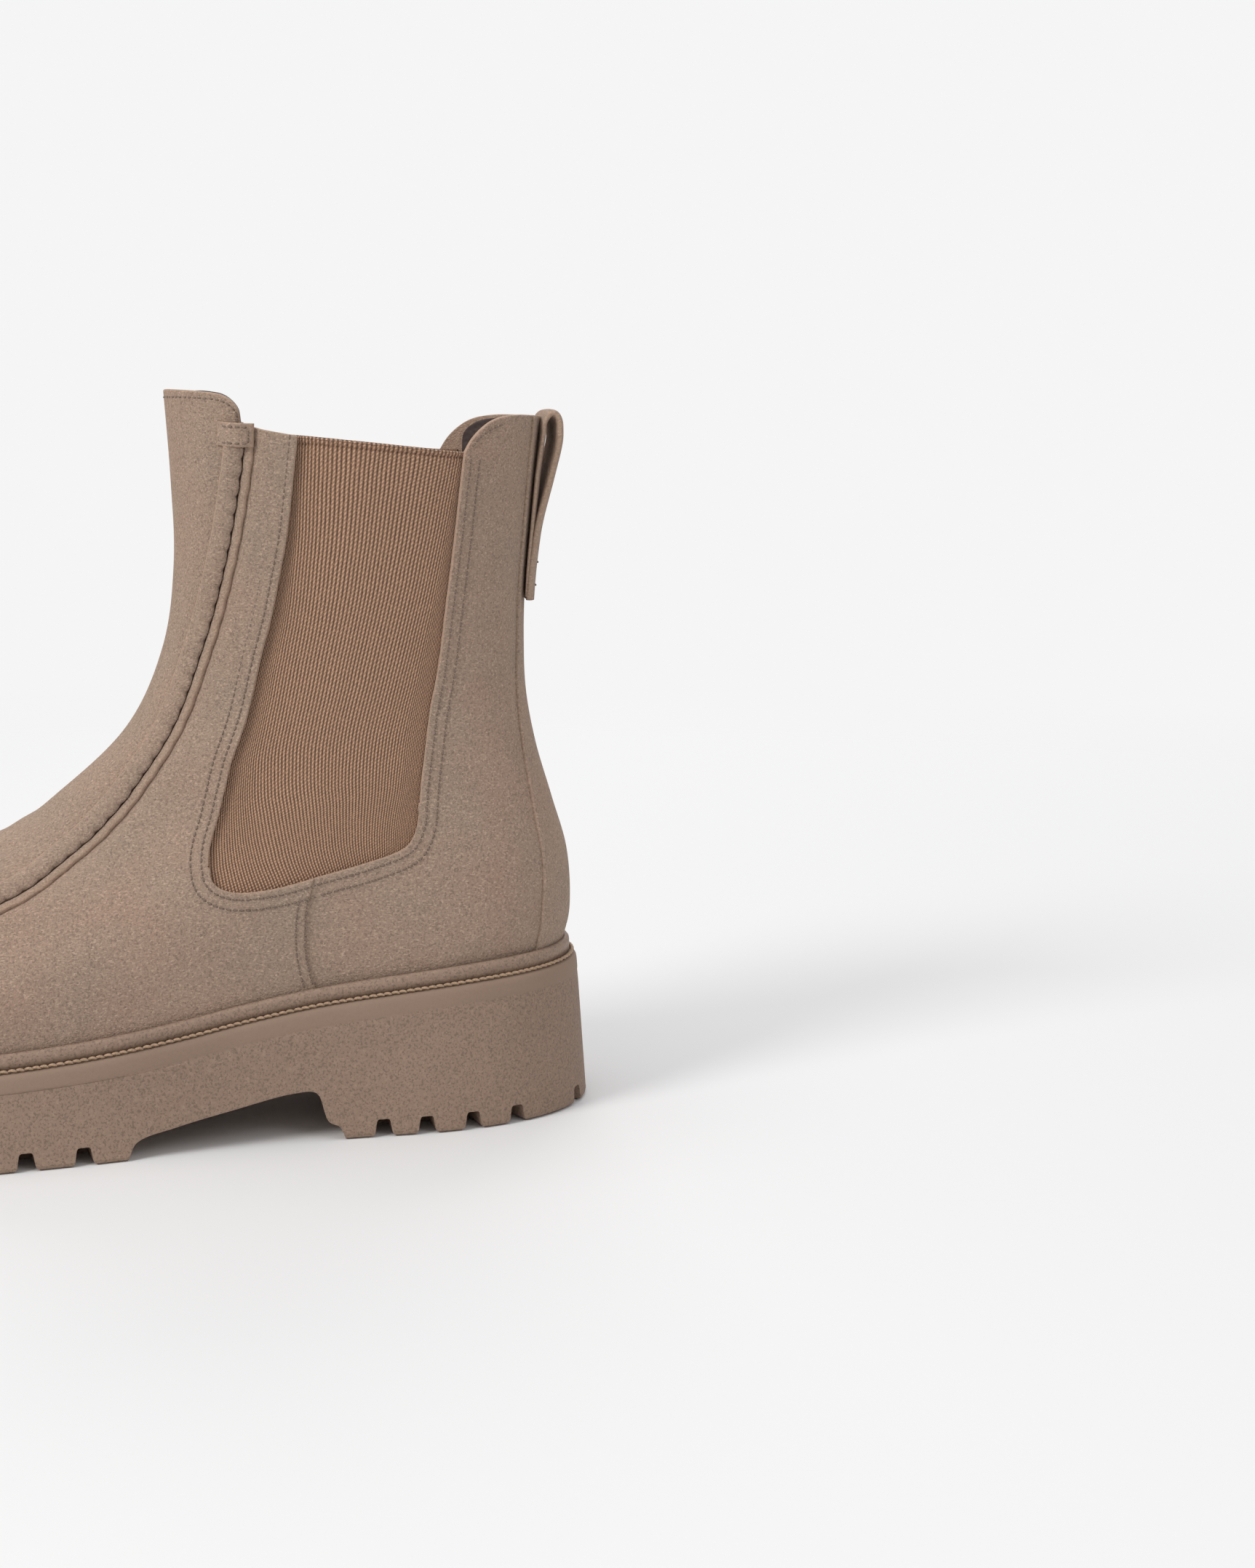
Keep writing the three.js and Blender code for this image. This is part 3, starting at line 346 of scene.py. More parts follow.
FEATHER_SEAM = place(81, float(upper_foot(81)))[0]
SEAM_SPLIT = (0.28, 0.203)
GORE_REAR = [(37.3, 188), (39.6, 170), (43, 146), (47.3, 120.5), (50.6, 101), (51.8, 92)]
GORE_HEEL = [(51.8, 92), (52.6, 86), (56, 80), (65, 76.6), (81.5, 72.6)]
GORE_FOOT = [(81.5, 72.6), (92, 70.3), (103, 69.7), (108.6, 72), (110, 76.5)]
GORE_FRONT = [(110, 76.5), (107.8, 87), (102.3, 106), (95.5, 128), (90.5, 147), (86.1, 170), (83.4, 192.5)]
SEAM_SIDE = [(165.4, 68), (149.6, 78), (137, 89.4), (127, 101), (118.3, 115), (111.5, 132.5), (106.5, 148),
             (102.8, 164),
             (100.3, 178), (98.7, 190), (98.7, 195.5)]
TAB_FRONT = [(98.7, 195.5), (99, 199.5), (101.5, 202.9), (107, 205), (117.2, 206)]
gore_rear, gore_heel = side_line(GORE_REAR), side_line(GORE_HEEL)
gore_foot, gore_front = side_line(GORE_FOOT), side_line(GORE_FRONT)
seam_side = line([SEAM_SPLIT] + [place(*p) for p in SEAM_SIDE])
tab_front = side_line(TAB_FRONT)


def front_top(s):
    p = tab_front(s)
    s = np.asarray(s, float)
    return np.stack([p[..., 0] * (1 - s**6), np.minimum(p[..., 1], 1)], -1)


strip_half = through([(0, 22.5), (0.12, 23), (0.25, 20.5), (0.4, 15.5), (0.55, 12), (0.75, 10.5), (1, 10.5)])


def strip_edge(rise, extra=0.0):
    rise = np.asarray(rise, float)
    full = fullness(OUTER_FULLNESS, 0.03 + 0 * rise, rise)
    return 1 - np.arcsin(np.clip((strip_half(rise) + extra) / full, 0, 1)) / math.pi


# ---------------------------------------------------------------- mesh building
def mesh_piece(name, points, faces, uv=None, values=None, smooth=True):
    """A mesh object from millimetre boot points; uv in metres and values per point."""
    mesh = bpy.data.meshes.new(name)
    mesh.from_pydata([tuple(p) for p in placed(points)], [], [tuple(int(i) for i in f) for f in faces])
    mesh.validate()
    mesh.update()
    if uv is not None:
        layer = mesh.uv_layers.new(name="cloth")
        index = np.empty(len(mesh.loops), np.int32)
        mesh.loops.foreach_get("vertex_index", index)
        layer.data.foreach_set("uv", np.asarray(uv, np.float32)[index].ravel())
    for key, value in (values or {}).items():
        mesh.attributes.new(key, "FLOAT",
                            "POINT").data.foreach_set("value", np.asarray(value, np.float32).ravel())
    mesh.shade_smooth() if smooth else mesh.shade_flat()
    obj = bpy.data.objects.new(name, mesh)
    bpy.context.scene.collection.objects.link(obj)
    work = bmesh.new()
    work.from_mesh(mesh)
    bmesh.ops.recalc_face_normals(work, faces=work.faces)
    work.to_mesh(mesh)
    work.free()
    return obj


def grid_faces(rows, columns, offset=0, closed=False):
    j, i = np.meshgrid(np.arange(rows - 1), np.arange(columns if closed else columns - 1), indexing="ij")
    k = (i + 1) % columns
    return (np.stack([j * columns + i, j * columns + k, (j + 1) * columns + k, (j + 1) * columns + i], -1)
            .reshape(-1, 4) + offset)


def block_faces(rows, columns):
    """Faces of a closed block from an upper and a lower grid."""
    n = rows * columns
    upper = grid_faces(rows, columns)
    lower = grid_faces(rows, columns, n)[:, ::-1]
    ring = np.concatenate([np.arange(columns - 1), np.arange(rows - 1) * columns + columns - 1,
                           n - 1 - np.arange(columns - 1), (rows - 1 - np.arange(rows - 1)) * columns])
    after = np.roll(ring, -1)
    sides = np.stack([after, ring, ring + n, after + n], -1)
    return np.concatenate([upper, lower, sides])


def smooth_step(x):
    x = np.clip(x, 0, 1)
    return x * x * (3 - 2 * x)


class Panel:
    """A patch of the last with real lengths, so that edges, stitches and folds are in millimetres."""

    rim = 1.0  # how pale the raw edges are

    def __init__(self, patch, outer=0.0, thick=1.5, inset=0.15, cell=2.2, round_edge=0.55, open_at=None):
        self.patch, self.outer, self.thick, self.inset = patch, outer, thick, inset
        self.cell, self.round_edge = cell, round_edge
        self.open_at = open_at or {}
        self.across_probe, self.up_probe = np.linspace(0, 1, 181), np.linspace(0, 1, 61)
        s, t = np.meshgrid(self.across_probe, self.up_probe)
        points = on_last(*np.moveaxis(patch(s, t), -1, 0))
        self.across = np.linalg.norm(np.diff(points, axis=1), axis=-1).sum(1)
        self.up = np.linalg.norm(np.diff(points, axis=0), axis=-1).sum(0)

    def across_at(self, t):
        return np.maximum(np.interp(t, self.up_probe, self.across), 0.5)

    def up_at(self, s):
        return np.maximum(np.interp(s, self.across_probe, self.up), 0.5)

    def lift(self, s, t, turn, rise):
        """Extra height of the outer face; pieces override it with their folds and dents."""
        return 0 * s

    def from_edge(self, s, t):
        """Millimetres to the nearest cut edge; an open side, tucked under its neighbour, has none."""
        wide, tall = self.across_at(t), self.up_at(s)
        sides = {"left": (s * wide, t), "right": ((1 - s) * wide, t), "bottom": (t * tall, s),
                 "top": ((1 - t) * tall, s)}
        for side, hidden in self.open_at.items():
            distance, at = sides[side]
            sides[side] = distance + 99 * hidden(at), at
        return np.minimum.reduce([distance for distance, _ in sides.values()]) - self.inset

    def build(self, name, columns=None, rows=None, top_rows=()):
        """The panel as a closed sheet; top_rows adds rows at those distances from its top side."""
        r = self.round_edge
        edge = self.inset + np.array([0, 0.12, 0.4, 1.0]) * r
        middle = self.inset + 1.8 * r
        columns = columns or max(6, int(self.across.mean() / self.cell))
        rows = rows or max(6, int(self.up.mean() / self.cell))

        def spaced(number, upper=()):
            """Shares of the length and the millimetres to add to them."""
            upper = np.sort([middle, *upper])[::-1]
            body = np.linspace(0, 1, number + 1)[:-1]
            share = np.concatenate([np.zeros(4), body, np.ones(len(upper) + 4)])
            added = np.concatenate([edge, middle * (1 - body) - upper[0] * body, -upper, -edge[::-1]])
            return share, added

        (s_share, s_added), (t_share, t_added) = spaced(columns), spaced(rows, top_rows)
        s = s_share[None, :] + s_added[None, :] / self.across_at(t_share)[:, None]
        t = t_share[:, None] + t_added[:, None] / self.up_at(s_share)[None, :]
        place_on = self.patch(s, t)
        turn, rise = place_on[..., 0], np.clip(place_on[..., 1], 0, 1)
        near = self.from_edge(s, t)
        drop = r * (1 - np.sqrt(np.clip(1 - (1 - np.clip(near / r, 0, 1)) ** 2, 0, 1)))
        out, base = facing(turn, rise), on_last(turn, rise)
        level = self.outer + self.lift(s, t, turn, rise)
        high, low = level - drop, level - self.thick + drop * 0.5
        points = np.concatenate([(base + out * face[..., None]).reshape(-1, 3) for face in (high, low)])
        uv = np.stack([(s - 0.5) * self.across_at(t), t * self.up_at(s)], -1).reshape(-1, 2) * MM
        raw = self.rim * np.clip(1 - near / (r * 1.1), 0, 1).ravel()
        return mesh_piece(name, points, block_faces(*s.shape), np.concatenate([uv, uv]),
                          {"edge": np.concatenate([raw, np.maximum(raw, 0.35)])})

    def row(self, side, distance, a=0.0, b=1.0, count=400):
        """A line that keeps its distance from one side of the panel, as turn and rise."""
        w = np.linspace(a, b, count)
        if side in ("left", "right"):
            share = distance / self.across_at(w)
            return self.patch(share if side == "left" else 1 - share, w)
        share = distance / self.up_at(w)
        return self.patch(w, share if side == "bottom" else 1 - share)


def beside(path, distance):
    """A (turn, rise) line moved sideways over the last, to the right of its way seen from outside."""
    step = 1e-3
    turn, rise = path[:, 0], path[:, 1]
    by_turn = (on_last(turn + step, rise) - on_last(turn - step, rise)) / (2 * step)
    by_rise = (on_last(turn, np.minimum(1, rise + step)) - on_last(turn, np.maximum(0, rise - step)))
    by_rise /= (np.minimum(1, rise + step) - np.maximum(0, rise - step))[:, None]
    way = np.gradient(on_last(turn, rise), axis=0)
    side = np.cross(way, facing(turn, rise))
    side *= distance / np.linalg.norm(side, axis=1, keepdims=True)
    a, b, c = ((u * v).sum(1) for u, v in ((by_turn, by_turn), (by_turn, by_rise), (by_rise, by_rise)))
    p, q = (by_turn * side).sum(1), (by_rise * side).sum(1)
    spread = a * c - b * b
    return np.stack([turn + (c * p - b * q) / spread, np.clip(rise + (a * q - b * p) / spread, 0, 1)], -1)


def sampled(f, a=0.0, b=1.0, count=300):
    return f(np.linspace(a, b, count))


def turned_over(path):
    return path * (-1, 1)


def run_of(path, outer=0.0):
    """Even samples of a (turn, rise) line: points, directions and normals."""
    points = off_last(path[:, 0], path[:, 1], outer)
    length = np.concatenate([[0], np.cumsum(np.linalg.norm(np.diff(points, axis=0), axis=1))])
    even = np.arange(0, length[-1], SAMPLE)
    turn, rise = np.interp(even, length, path[:, 0]), np.interp(even, length, path[:, 1])
    p = off_last(turn, rise, outer)
    way = np.gradient(p, axis=0)
    way /= np.linalg.norm(way, axis=1, keepdims=True)
    return p, way, facing(turn, rise)


def stitches(name, rows, pitch=1.8, length=1.5, radius=0.25, sink=0.02, splay=0.0):
    """One mesh of raised thread stitches along rows of (points, ways, normals)."""
    ring, steps = 6, np.array([-1, -0.86, -0.5, 0, 0.5, 0.86, 1.0])
    fat = np.sqrt(np.clip(1 - np.abs(steps) ** 3, 0.02, 1))
    bow = 1 - steps**2
    angle = 2 * math.pi * np.arange(ring) / ring
    points, faces, ends = [], [], []
    for p, way, out in rows:
        for k in range(int((len(p) - 1) * SAMPLE / pitch)):
            i = min(len(p) - 1, int((k + 0.5) * pitch / SAMPLE))
            along = way[i] + splay * np.cross(way[i], out[i])
            along /= np.linalg.norm(along)
            cross = np.cross(along, out[i])
            first = len(points) * ring * len(steps)
            centres = p[i] + np.outer(steps * length / 2,
                                      along) + np.outer(radius * (0.9 * bow - 0.35) - sink, out[i])
            round_it = np.outer(np.cos(angle), cross) + np.outer(np.sin(angle), out[i])
            points.append((centres[:, None] + radius * fat[:, None, None] * round_it).reshape(-1, 3))
            # The end values mark each stitch's ends, where the thread finish paints shade into the holes.
            ends.append(np.repeat(np.abs(steps) ** 3, ring))
            faces.extend(grid_faces(len(steps), ring, first, closed=True).tolist())
            faces.append([first + q for q in range(ring)][::-1])
            faces.append([first + (len(steps) - 1) * ring + q for q in range(ring)])
    return mesh_piece(name, np.concatenate(points), faces, values={"end": np.concatenate(ends)})


def swept(name, stations, values=None):
    """A tube through rings of equal size, capped at its ends."""
    count, size = stations.shape[:2]
    points = stations.reshape(-1, 3)
    faces = []
    for i in range(count - 1):
        j = i + 1
        for k in range(size):
            m = (k + 1) % size
            faces.append([i * size + k, i * size + m, j * size + m, j * size + k])
    faces.append(list(range(size))[::-1])
    faces.append([(count - 1) * size + k for k in range(size)])
    return mesh_piece(name, points, faces, values=values)


# ---------------------------------------------------------------- materials
class Worth:
    """A node's output; arithmetic on it adds Math nodes."""

    def __init__(self, recipe, socket):
        self.recipe, self.socket = recipe, socket

    def _math(self, operation, *others, clamp=False):
        return self.recipe.add("ShaderNodeMath", {"operation": operation, "use_clamp": clamp}, *others)

    def __add__(self, other): return self._math("ADD", self, other)
    def __radd__(self, other): return self._math("ADD", other, self)
    def __sub__(self, other): return self._math("SUBTRACT", self, other)
    def __rsub__(self, other): return self._math("SUBTRACT", other, self)
    def __mul__(self, other): return self._math("MULTIPLY", self, other)
    def __rmul__(self, other): return self._math("MULTIPLY", other, self)
    def __truediv__(self, other): return self._math("DIVIDE", self, other)
    def __pow__(self, other): return self._math("POWER", self, other)
    def __abs__(self): return self._math("ABSOLUTE", self)
    def sine(self): return self._math("SINE", self)
    def greatest(self, other): return self._math("MAXIMUM", self, other)
    def clamped(self): return self._math("ADD", self, 0.0, clamp=True)


class Recipe:
    """One material and the nodes in it."""

    def __init__(self, name, **constants):
        self.material = bpy.data.materials.new(name)
        self.material.use_nodes = True
        self.tree = self.material.node_tree
        self.skin = self.tree.nodes["Principled BSDF"]
        for socket, value in constants.items():
            self.skin.inputs[socket.replace("_", " ")].default_value = value

    def add(self, kind, settings=None, *values, output=0, **named):
        """A node of any kind: its settings first, then its sockets, by place or by name."""
        node = self.tree.nodes.new(kind)
        for key, value in (settings or {}).items():
            if key == "stops":
                ramp = node.color_ramp
                while len(ramp.elements) < len(value):
                    ramp.elements.new(0.5)
                for element, (at, colour) in zip(ramp.elements, value):
                    element.position = at
                    element.color = (*colour, 1) if len(colour) == 3 else colour
            else:
                setattr(node, key, value)
        for key, value in [*enumerate(values), *((k.replace("_", " "), v) for k, v in named.items())]:
            self.join(node.inputs[key], value)
        return Worth(self, node.outputs[output])

    def join(self, socket, value):
        if isinstance(value, Worth):
            self.tree.links.new(value.socket, socket)
        else:
            socket.default_value = value

    def give(self, **sockets):
        for key, value in sockets.items():
            self.join(self.skin.inputs[key.replace("_", " ")], value)
        return self.material

    def place(self):
        return self.add("ShaderNodeTexCoord", {}, output="Object")

    def cloth_uv(self):
        return self.add("ShaderNodeUVMap", {"uv_map": "cloth"})

    def split(self, vector):
        node = self.tree.nodes.new("ShaderNodeSeparateXYZ")
        self.join(node.inputs[0], vector)
        return [Worth(self, node.outputs[k]) for k in range(3)]

    def scaled(self, vector, scale):
        return self.add("ShaderNodeVectorMath", {"operation": "MULTIPLY"}, vector, scale)

    def noise(self, vector, scale, detail=2.0, rough=0.5, warp=0.0):
        return self.add("ShaderNodeTexNoise", {}, Vector=vector, Scale=scale, Detail=detail, Roughness=rough,
                        Distortion=warp)

    def value_of(self, name):
        return self.add("ShaderNodeAttribute", {"attribute_name": name}, output="Fac")

    def ramp(self, worth, *stops, ease="LINEAR"):
        node = self.add("ShaderNodeValToRGB", {"stops": stops}, worth)
        node.socket.node.color_ramp.interpolation = ease
        return node

    def range(self, worth, low, high, to_low=0.0, to_high=1.0):
        return self.add("ShaderNodeMapRange", {"clamp": True}, worth, low, high, to_low, to_high)

    def mixed(self, amount, first, second, kind="MIX"):
        node = self.tree.nodes.new("ShaderNodeMix")
        node.data_type, node.blend_type = "RGBA", kind
        for socket, value in ((node.inputs[0], amount), (node.inputs[6], first), (node.inputs[7], second)):
            self.join(socket, (*value, 1) if isinstance(value, tuple) and len(value) == 3 else value)
        return Worth(self, node.outputs[2])

    def bump(self, height, strength, distance, under=None):
        extra = {"Normal": under} if under is not None else {}
        return self.add("ShaderNodeBump", {}, Strength=strength, Distance=distance, Height=height, **extra)


def tint(colour, factor):
    """A colour times one factor, or times three."""
    factors = factor if isinstance(factor, tuple) else (factor,) * 3
    return tuple(c * k for c, k in zip(colour, factors))


def dressed(obj, material, body=None):
    obj.data.materials.clear()
    obj.data.materials.append(material)
    if body:
        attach(obj, body)
    return obj


PICK = 0.00105  # height of one woven step


def suede_finish(settings):
    """Napped suede: a fine speckled nap over soft mottling, paler raw edges, and a painted highlight along
    the apron roll's crest.
    """
    r = Recipe("suede", Roughness=0.95, Specular_IOR_Level=0.12, Sheen_Weight=0.16, Sheen_Roughness=0.5)
    r.skin.inputs["Sheen Tint"].default_value = (0.85, 0.7, 0.6, 1)
    at = r.place()
    cloud = r.noise(at, 26, 2.0, 0.5, 0.3)
    patch = r.noise(r.scaled(at, (1, 0.7, 1)), 95, 3.0, 0.6, 0.5)
    nap = r.noise(at, 1500, 3.0, 0.7)
    fibre = r.noise(r.scaled(at, (1.0, 0.45, 1.0)), 2300, 2.0, 0.7, 0.4)
    rosy = tint(settings.suede, (1.07, 1.0, 0.99))
    dusty = tint(settings.suede, (0.95, 0.98, 0.985))
    colour = r.mixed(r.range(cloud, 0.35, 0.65), rosy, dusty)
    colour = r.mixed(r.range(patch, 0.35, 0.7) * 0.5, colour, tint(settings.suede, 1.12))
    colour = r.mixed(r.range(nap, 0.52, 0.36) * 0.6, colour, tint(settings.suede, 0.45))
    colour = r.mixed(r.range(fibre, 0.52, 0.68) * 0.6, colour, tint(settings.suede, 1.8))
    # The edge value pales the raw edges, and paints a highlight along the apron roll's crest.
    colour = r.mixed(r.value_of("edge") * 0.55, colour, tint(settings.suede, (1.45, 1.36, 1.28)))
    height = nap * 0.8 + fibre * 0.5 + patch * 0.25
    return r.give(Base_Color=colour, Roughness=r.range(nap, 0.2, 0.8, 0.88, 0.99),
                  Normal=r.bump(height, 0.8, 0.0007))


def elastic_finish(settings):
    """Woven elastic: fine upright ribs of short floats that step up in a shallow twill, coloured from their
    relief with painted shade in the grooves and paler rib tops.
    """
    r = Recipe("elastic", Roughness=0.85, Specular_IOR_Level=0.2, Sheen_Weight=0.1, Sheen_Roughness=0.5)
    u, v, _ = r.split(r.cloth_uv())
    wander = r.noise(r.cloth_uv(), 140, 2.0) - 0.5
    spacing = settings.rib * MM
    rib = ((u + wander * 0.00025) * (2 * math.pi / spacing)).sine() * 0.5 + 0.5
    pick = ((v + u * 0.5 + wander * 0.0003) * (2 * math.pi / PICK)).sine() * 0.5 + 0.5
    fuzz = r.noise(r.place(), 2200, 3.0, 0.7)
    band = r.noise(r.scaled(r.cloth_uv(), (1, 0.06, 1)), 420, 2.0)
    shade = rib ** 0.8 * (pick * 0.55 + 0.45)
    # Painted shade: the colour follows the rib and pick relief, near black in the grooves between the ribs
    # and paler on the rib tops.
    colour = r.mixed(shade, tint(settings.elastic, 0.2), tint(settings.elastic, 2.0))
    colour = r.mixed(r.range(fuzz, 0.5, 0.7) * 0.35, colour, tint(settings.elastic, (2.2, 2.1, 2.0)))
    colour = r.mixed(r.range(band, 0.4, 0.65) * 0.1, colour, tint(settings.elastic, 0.7))
    return r.give(Base_Color=colour, Normal=r.bump(shade * 0.8 + fuzz * 0.25, 0.9, 0.0005))


def lining_finish(settings):
    """Grained lining leather, satin, with creases."""
    r = Recipe("lining_leather", Roughness=0.55, Specular_IOR_Level=0.4)
    at = r.place()
    grain = r.add("ShaderNodeTexVoronoi", {"feature": "SMOOTH_F1"}, Vector=at, Scale=720.0, output=0)
    cloud = r.noise(at, 60, 3.0)
    colour = r.mixed(r.range(cloud, 0.3, 0.7), tint(settings.lining, 0.75), tint(settings.lining, 1.35))
    return r.give(Base_Color=colour, Roughness=r.range(cloud, 0.3, 0.7, 0.5, 0.68),
                  Normal=r.bump(grain, 0.5, 0.0004))


def rubber_finish(settings, name, grain_strength, roughness, factor):
    """Moulded rubber: fine spark-eroded grain over a faintly uneven colour."""
    r = Recipe(name, Roughness=roughness, Specular_IOR_Level=0.35)
    at = r.place()
    cloud = r.noise(at, 30, 3.0)
    grain = r.noise(at, 1500, 3.0, 0.65)
    dust = r.noise(at, 850, 4.0, 0.7)
    colour = r.mixed(r.range(cloud, 0.3, 0.7), tint(settings.rubber, 0.94 * factor),
                     tint(settings.rubber, 1.06 * factor))
    rough_part = 1 - r.value_of("band") * 0.85
    colour = r.mixed(r.range(dust, 0.48, 0.7) * rough_part * 0.55, colour,
                     tint(settings.rubber, 1.45 * factor))
    colour = r.mixed(r.range(grain, 0.5, 0.38) * rough_part * 0.65, colour,
                     tint(settings.rubber, 0.5 * factor))
    return r.give(Base_Color=colour, Roughness=r.range(grain, 0.3, 0.7, roughness - 0.06, roughness + 0.08),
                  Normal=r.bump((grain + dust * 0.5) * rough_part, grain_strength, 0.0004))


def thread_finish(name, colour_of, hole_shade):
    """Twisted waxed thread, with painted shade darkening the ends of each stitch where they go into their
    holes.
    """
    r = Recipe(name, Roughness=0.62, Specular_IOR_Level=0.35, Sheen_Weight=0.1)
    strand = r.noise(r.place(), 1900, 2.0, 0.6)
    colour = r.mixed(r.range(strand, 0.3, 0.7), tint(colour_of, 0.72), tint(colour_of, 1.2))
    # Painted shade in the stitch holes: the ends of each stitch darken towards 0.12 of the thread's colour.
    colour = r.mixed(r.value_of("end") * hole_shade, colour, tint(colour_of, 0.12))
    return r.give(Base_Color=colour, Normal=r.bump(strand, 0.4, 0.0002))


def plain_finish(name, colour_of, roughness, scale, contrast=0.25, metal=0.0):
    """A hidden piece's finish: a two-tone grain with relief."""
    r = Recipe(name, Roughness=roughness, Metallic=metal)
    grain = r.noise(r.place(), scale, 4.0, 0.7)
    colour = r.mixed(r.range(grain, 0.3, 0.7), tint(colour_of, 1 - contrast), tint(colour_of, 1 + contrast))
    return r.give(Base_Color=colour, Roughness=r.range(grain, 0.3, 0.7, roughness - 0.08, roughness + 0.08),
                  Normal=r.bump(grain, 0.3, 0.0004))


FINISHES = {}


def finish_named(name):
    return FINISHES[name]


def make_finishes(settings):
    FINISHES.update(
        suede=suede_finish(settings),
        elastic=elastic_finish(settings),
        lining=lining_finish(settings),
        rubber=rubber_finish(settings, "sole_rubber", 0.35, 0.72, 1.0),
        welt=rubber_finish(settings, "welt_rubber", 0.12, 0.5, 1.08),
        # The last number sets how dark the painted shade at the stitch holes is.
        thread=thread_finish("thread", settings.thread, 0.15),
        suede_thread=thread_finish("upper_thread", tint(settings.suede, 0.6), 1.0),
        cork=plain_finish("cork_filler", (0.33, 0.18, 0.075), 0.85, 500, 0.4),
        board=plain_finish("board", (0.26, 0.18, 0.1), 0.85, 900, 0.2),
        steel=plain_finish("shank_steel", (0.4, 0.41, 0.42), 0.35, 400, 0.1, 1.0),
        stiffener=plain_finish("stiffener", (0.6, 0.56, 0.48), 0.7, 600, 0.08),
    )


# ---------------------------------------------------------------- the upper's panels
def hinge_band(obj):
    """A piece of the back of the shaft, with its placement baked into its mesh."""
    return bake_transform(obj)


def gore_swing(obj):
    """A piece between the front of the shaft and its back, with its placement baked into its mesh."""
    front, rear = placed([84, 0, 0]), placed([42, 0, 0])
    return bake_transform(obj)


SEAM_PITCH = 5.1
GORE_CORNER = place(110, 76.5)
GORE_HEEL_END = place(51.8, 92)
FRONT_WING = place(112, float(upper_foot(112)))[0]
REAR_WING = place(47, float(upper_foot(47)))[0]
OUTLINE_SPLIT = 1 / 9  # share of the vamp's outline from the wing's line to the gore's corner


SEAM_EASE = 24  # samples on each side that a corner of the seam is rounded over


def seam_path(end=0.945):
    """The apron seam from the inner collar tab round the toe to the outer one."""
    round_toe = joined(straight((0, 0.2), SEAM_SPLIT), stretch_of(seam_side, 0, end), 0.24)
    u = np.linspace(-1, 1, 1600)
    half = round_toe(np.abs(u))
    path = np.stack([np.sign(u) * half[:, 0], half[:, 1]], -1)
    for _ in range(2):
        eased = np.pad(path, ((SEAM_EASE, SEAM_EASE), (0, 0)), "reflect", reflect_type="odd")
        total = np.cumsum(np.vstack([np.zeros((1, 2)), eased]), axis=0)
        path = (total[2 * SEAM_EASE + 1:] - total[:-2 * SEAM_EASE - 1]) / (2 * SEAM_EASE + 1)
    return path


SEAM_TREE = []


def from_seam(points):
    """Millimetres from points to the apron seam."""
    if not SEAM_TREE:
        course = run_of(seam_path(1.0))[0]
        tree = KDTree(len(course))
        for i, p in enumerate(course):
            tree.insert(p, i)
        tree.balance()
        SEAM_TREE.append(tree)
    return np.reshape([SEAM_TREE[0].find(p)[2] for p in points.reshape(-1, 3)], points.shape[:-1])


class Vamp(Panel):
    ridge = [(0, -0.9), (3.6, -0.7), (4.6, -0.15), (6, 0.5), (8, 0.75), (11, 0.4), (16, 0)]

    def lift(self, s, t, turn, rise):
        inward = from_seam(on_last(turn, rise))
        pull = np.cos(s * self.across_at(t) * 2 * math.pi / SEAM_PITCH)
        pucker = 0.14 * np.exp(-((inward - 8.5) / 3) ** 2) * pull
        return np.interp(inward, *zip(*self.ridge)) + pucker


class Apron(Panel):
    def lift(self, s, t, turn, rise):
        near = np.minimum.reduce([s * self.across_at(t), (1 - s) * self.across_at(t),
                                  t * self.up_at(s) + 0 * s])
        crown = 0.9 * (1 - np.exp(-near / 9))
        crease = np.zeros_like(s)
        for at, depth, wide in ((0.37, 0.5, 0.012), (0.405, 0.65, 0.014), (0.44, 0.5, 0.012),
                                (0.48, 0.35, 0.014)):
            crease -= depth * np.exp(-((rise - at - 0.008 * np.sin(turn * 9 + at * 60)) / wide) ** 2)
        return crown + crease * np.exp(-(turn / 0.3) ** 2)


class Gore(Panel):
    def lift(self, s, t, turn, rise):
        down = (1 - t) * self.up_at(s)
        fold = 0.35 * np.exp(-((down - 0.8) / 0.7) ** 2) - 0.5 * np.exp(-((down - 1.9) / 0.3) ** 2)
        return fold - 0.35 * np.sin(np.pi * np.clip(s, 0, 1)) ** 2


class Strip(Panel):
    rim = 0.15


class Tab(Panel):
    def lift(self, s, t, turn, rise):
        return 1.9 * np.exp(-(((s - 0.5) * self.across_at(t) + 0.5) / 3.7) ** 4)


class Lining(Panel):
    """Lining leather behind the suede, and deeper behind the stiffeners at the toe and heel."""

    def lift(self, s, t, turn, rise):
        return -1.7 * (1 - smooth_step((rise - 0.24) / 0.12))


def vamp_patch():
    outer = joined(straight((0, 0), (FRONT_WING, 0)),
                   joined(straight((FRONT_WING, 0), GORE_CORNER), gore_front, OUTLINE_SPLIT), 0.5)
    inner = joined(straight((0, 0.2), SEAM_SPLIT), seam_side, 0.24)
    half = cover(outer, inner, straight((0, 0), (0, 0.2)), straight(place(83.4, 192.5), place(98.7, 195.5)))
    return both_sides(lambda s, t: half(1 - s, t))


def vamp_joined(s):
    """Where the vamp's lower side runs on into the wing under the gore."""
    half = 1 - np.where(s < 0.5, 2 * s, 2 - 2 * s)
    return ((half > 0.5) & (half < 0.5 + 0.5 * OUTLINE_SPLIT)).astype(float)


def vamp_wing_patch():
    front = straight((place(114, float(upper_foot(114)))[0] - 0.004, 0), place(111.8, 76.8))
    foot = joined(straight(place(81.5, 72.6), place(81.6, 72.5)), gore_foot, 0.01)
    top = line([tuple(foot(np.array(k))) for k in np.linspace(0, 1, 9)] + [place(111.8, 76.8)])
    rear = straight((FEATHER_SEAM, 0), place(81.5, 72.6))
    return cover(straight(tuple(rear(np.array(0.0))), tuple(front(np.array(0.0)))), top, rear, front)


def apron_patch():
    half = cover(straight(SEAM_SPLIT, (0, 0.2)), front_top, seam_side, straight((0, 0.2), (0, 1)))
    return both_sides(half)


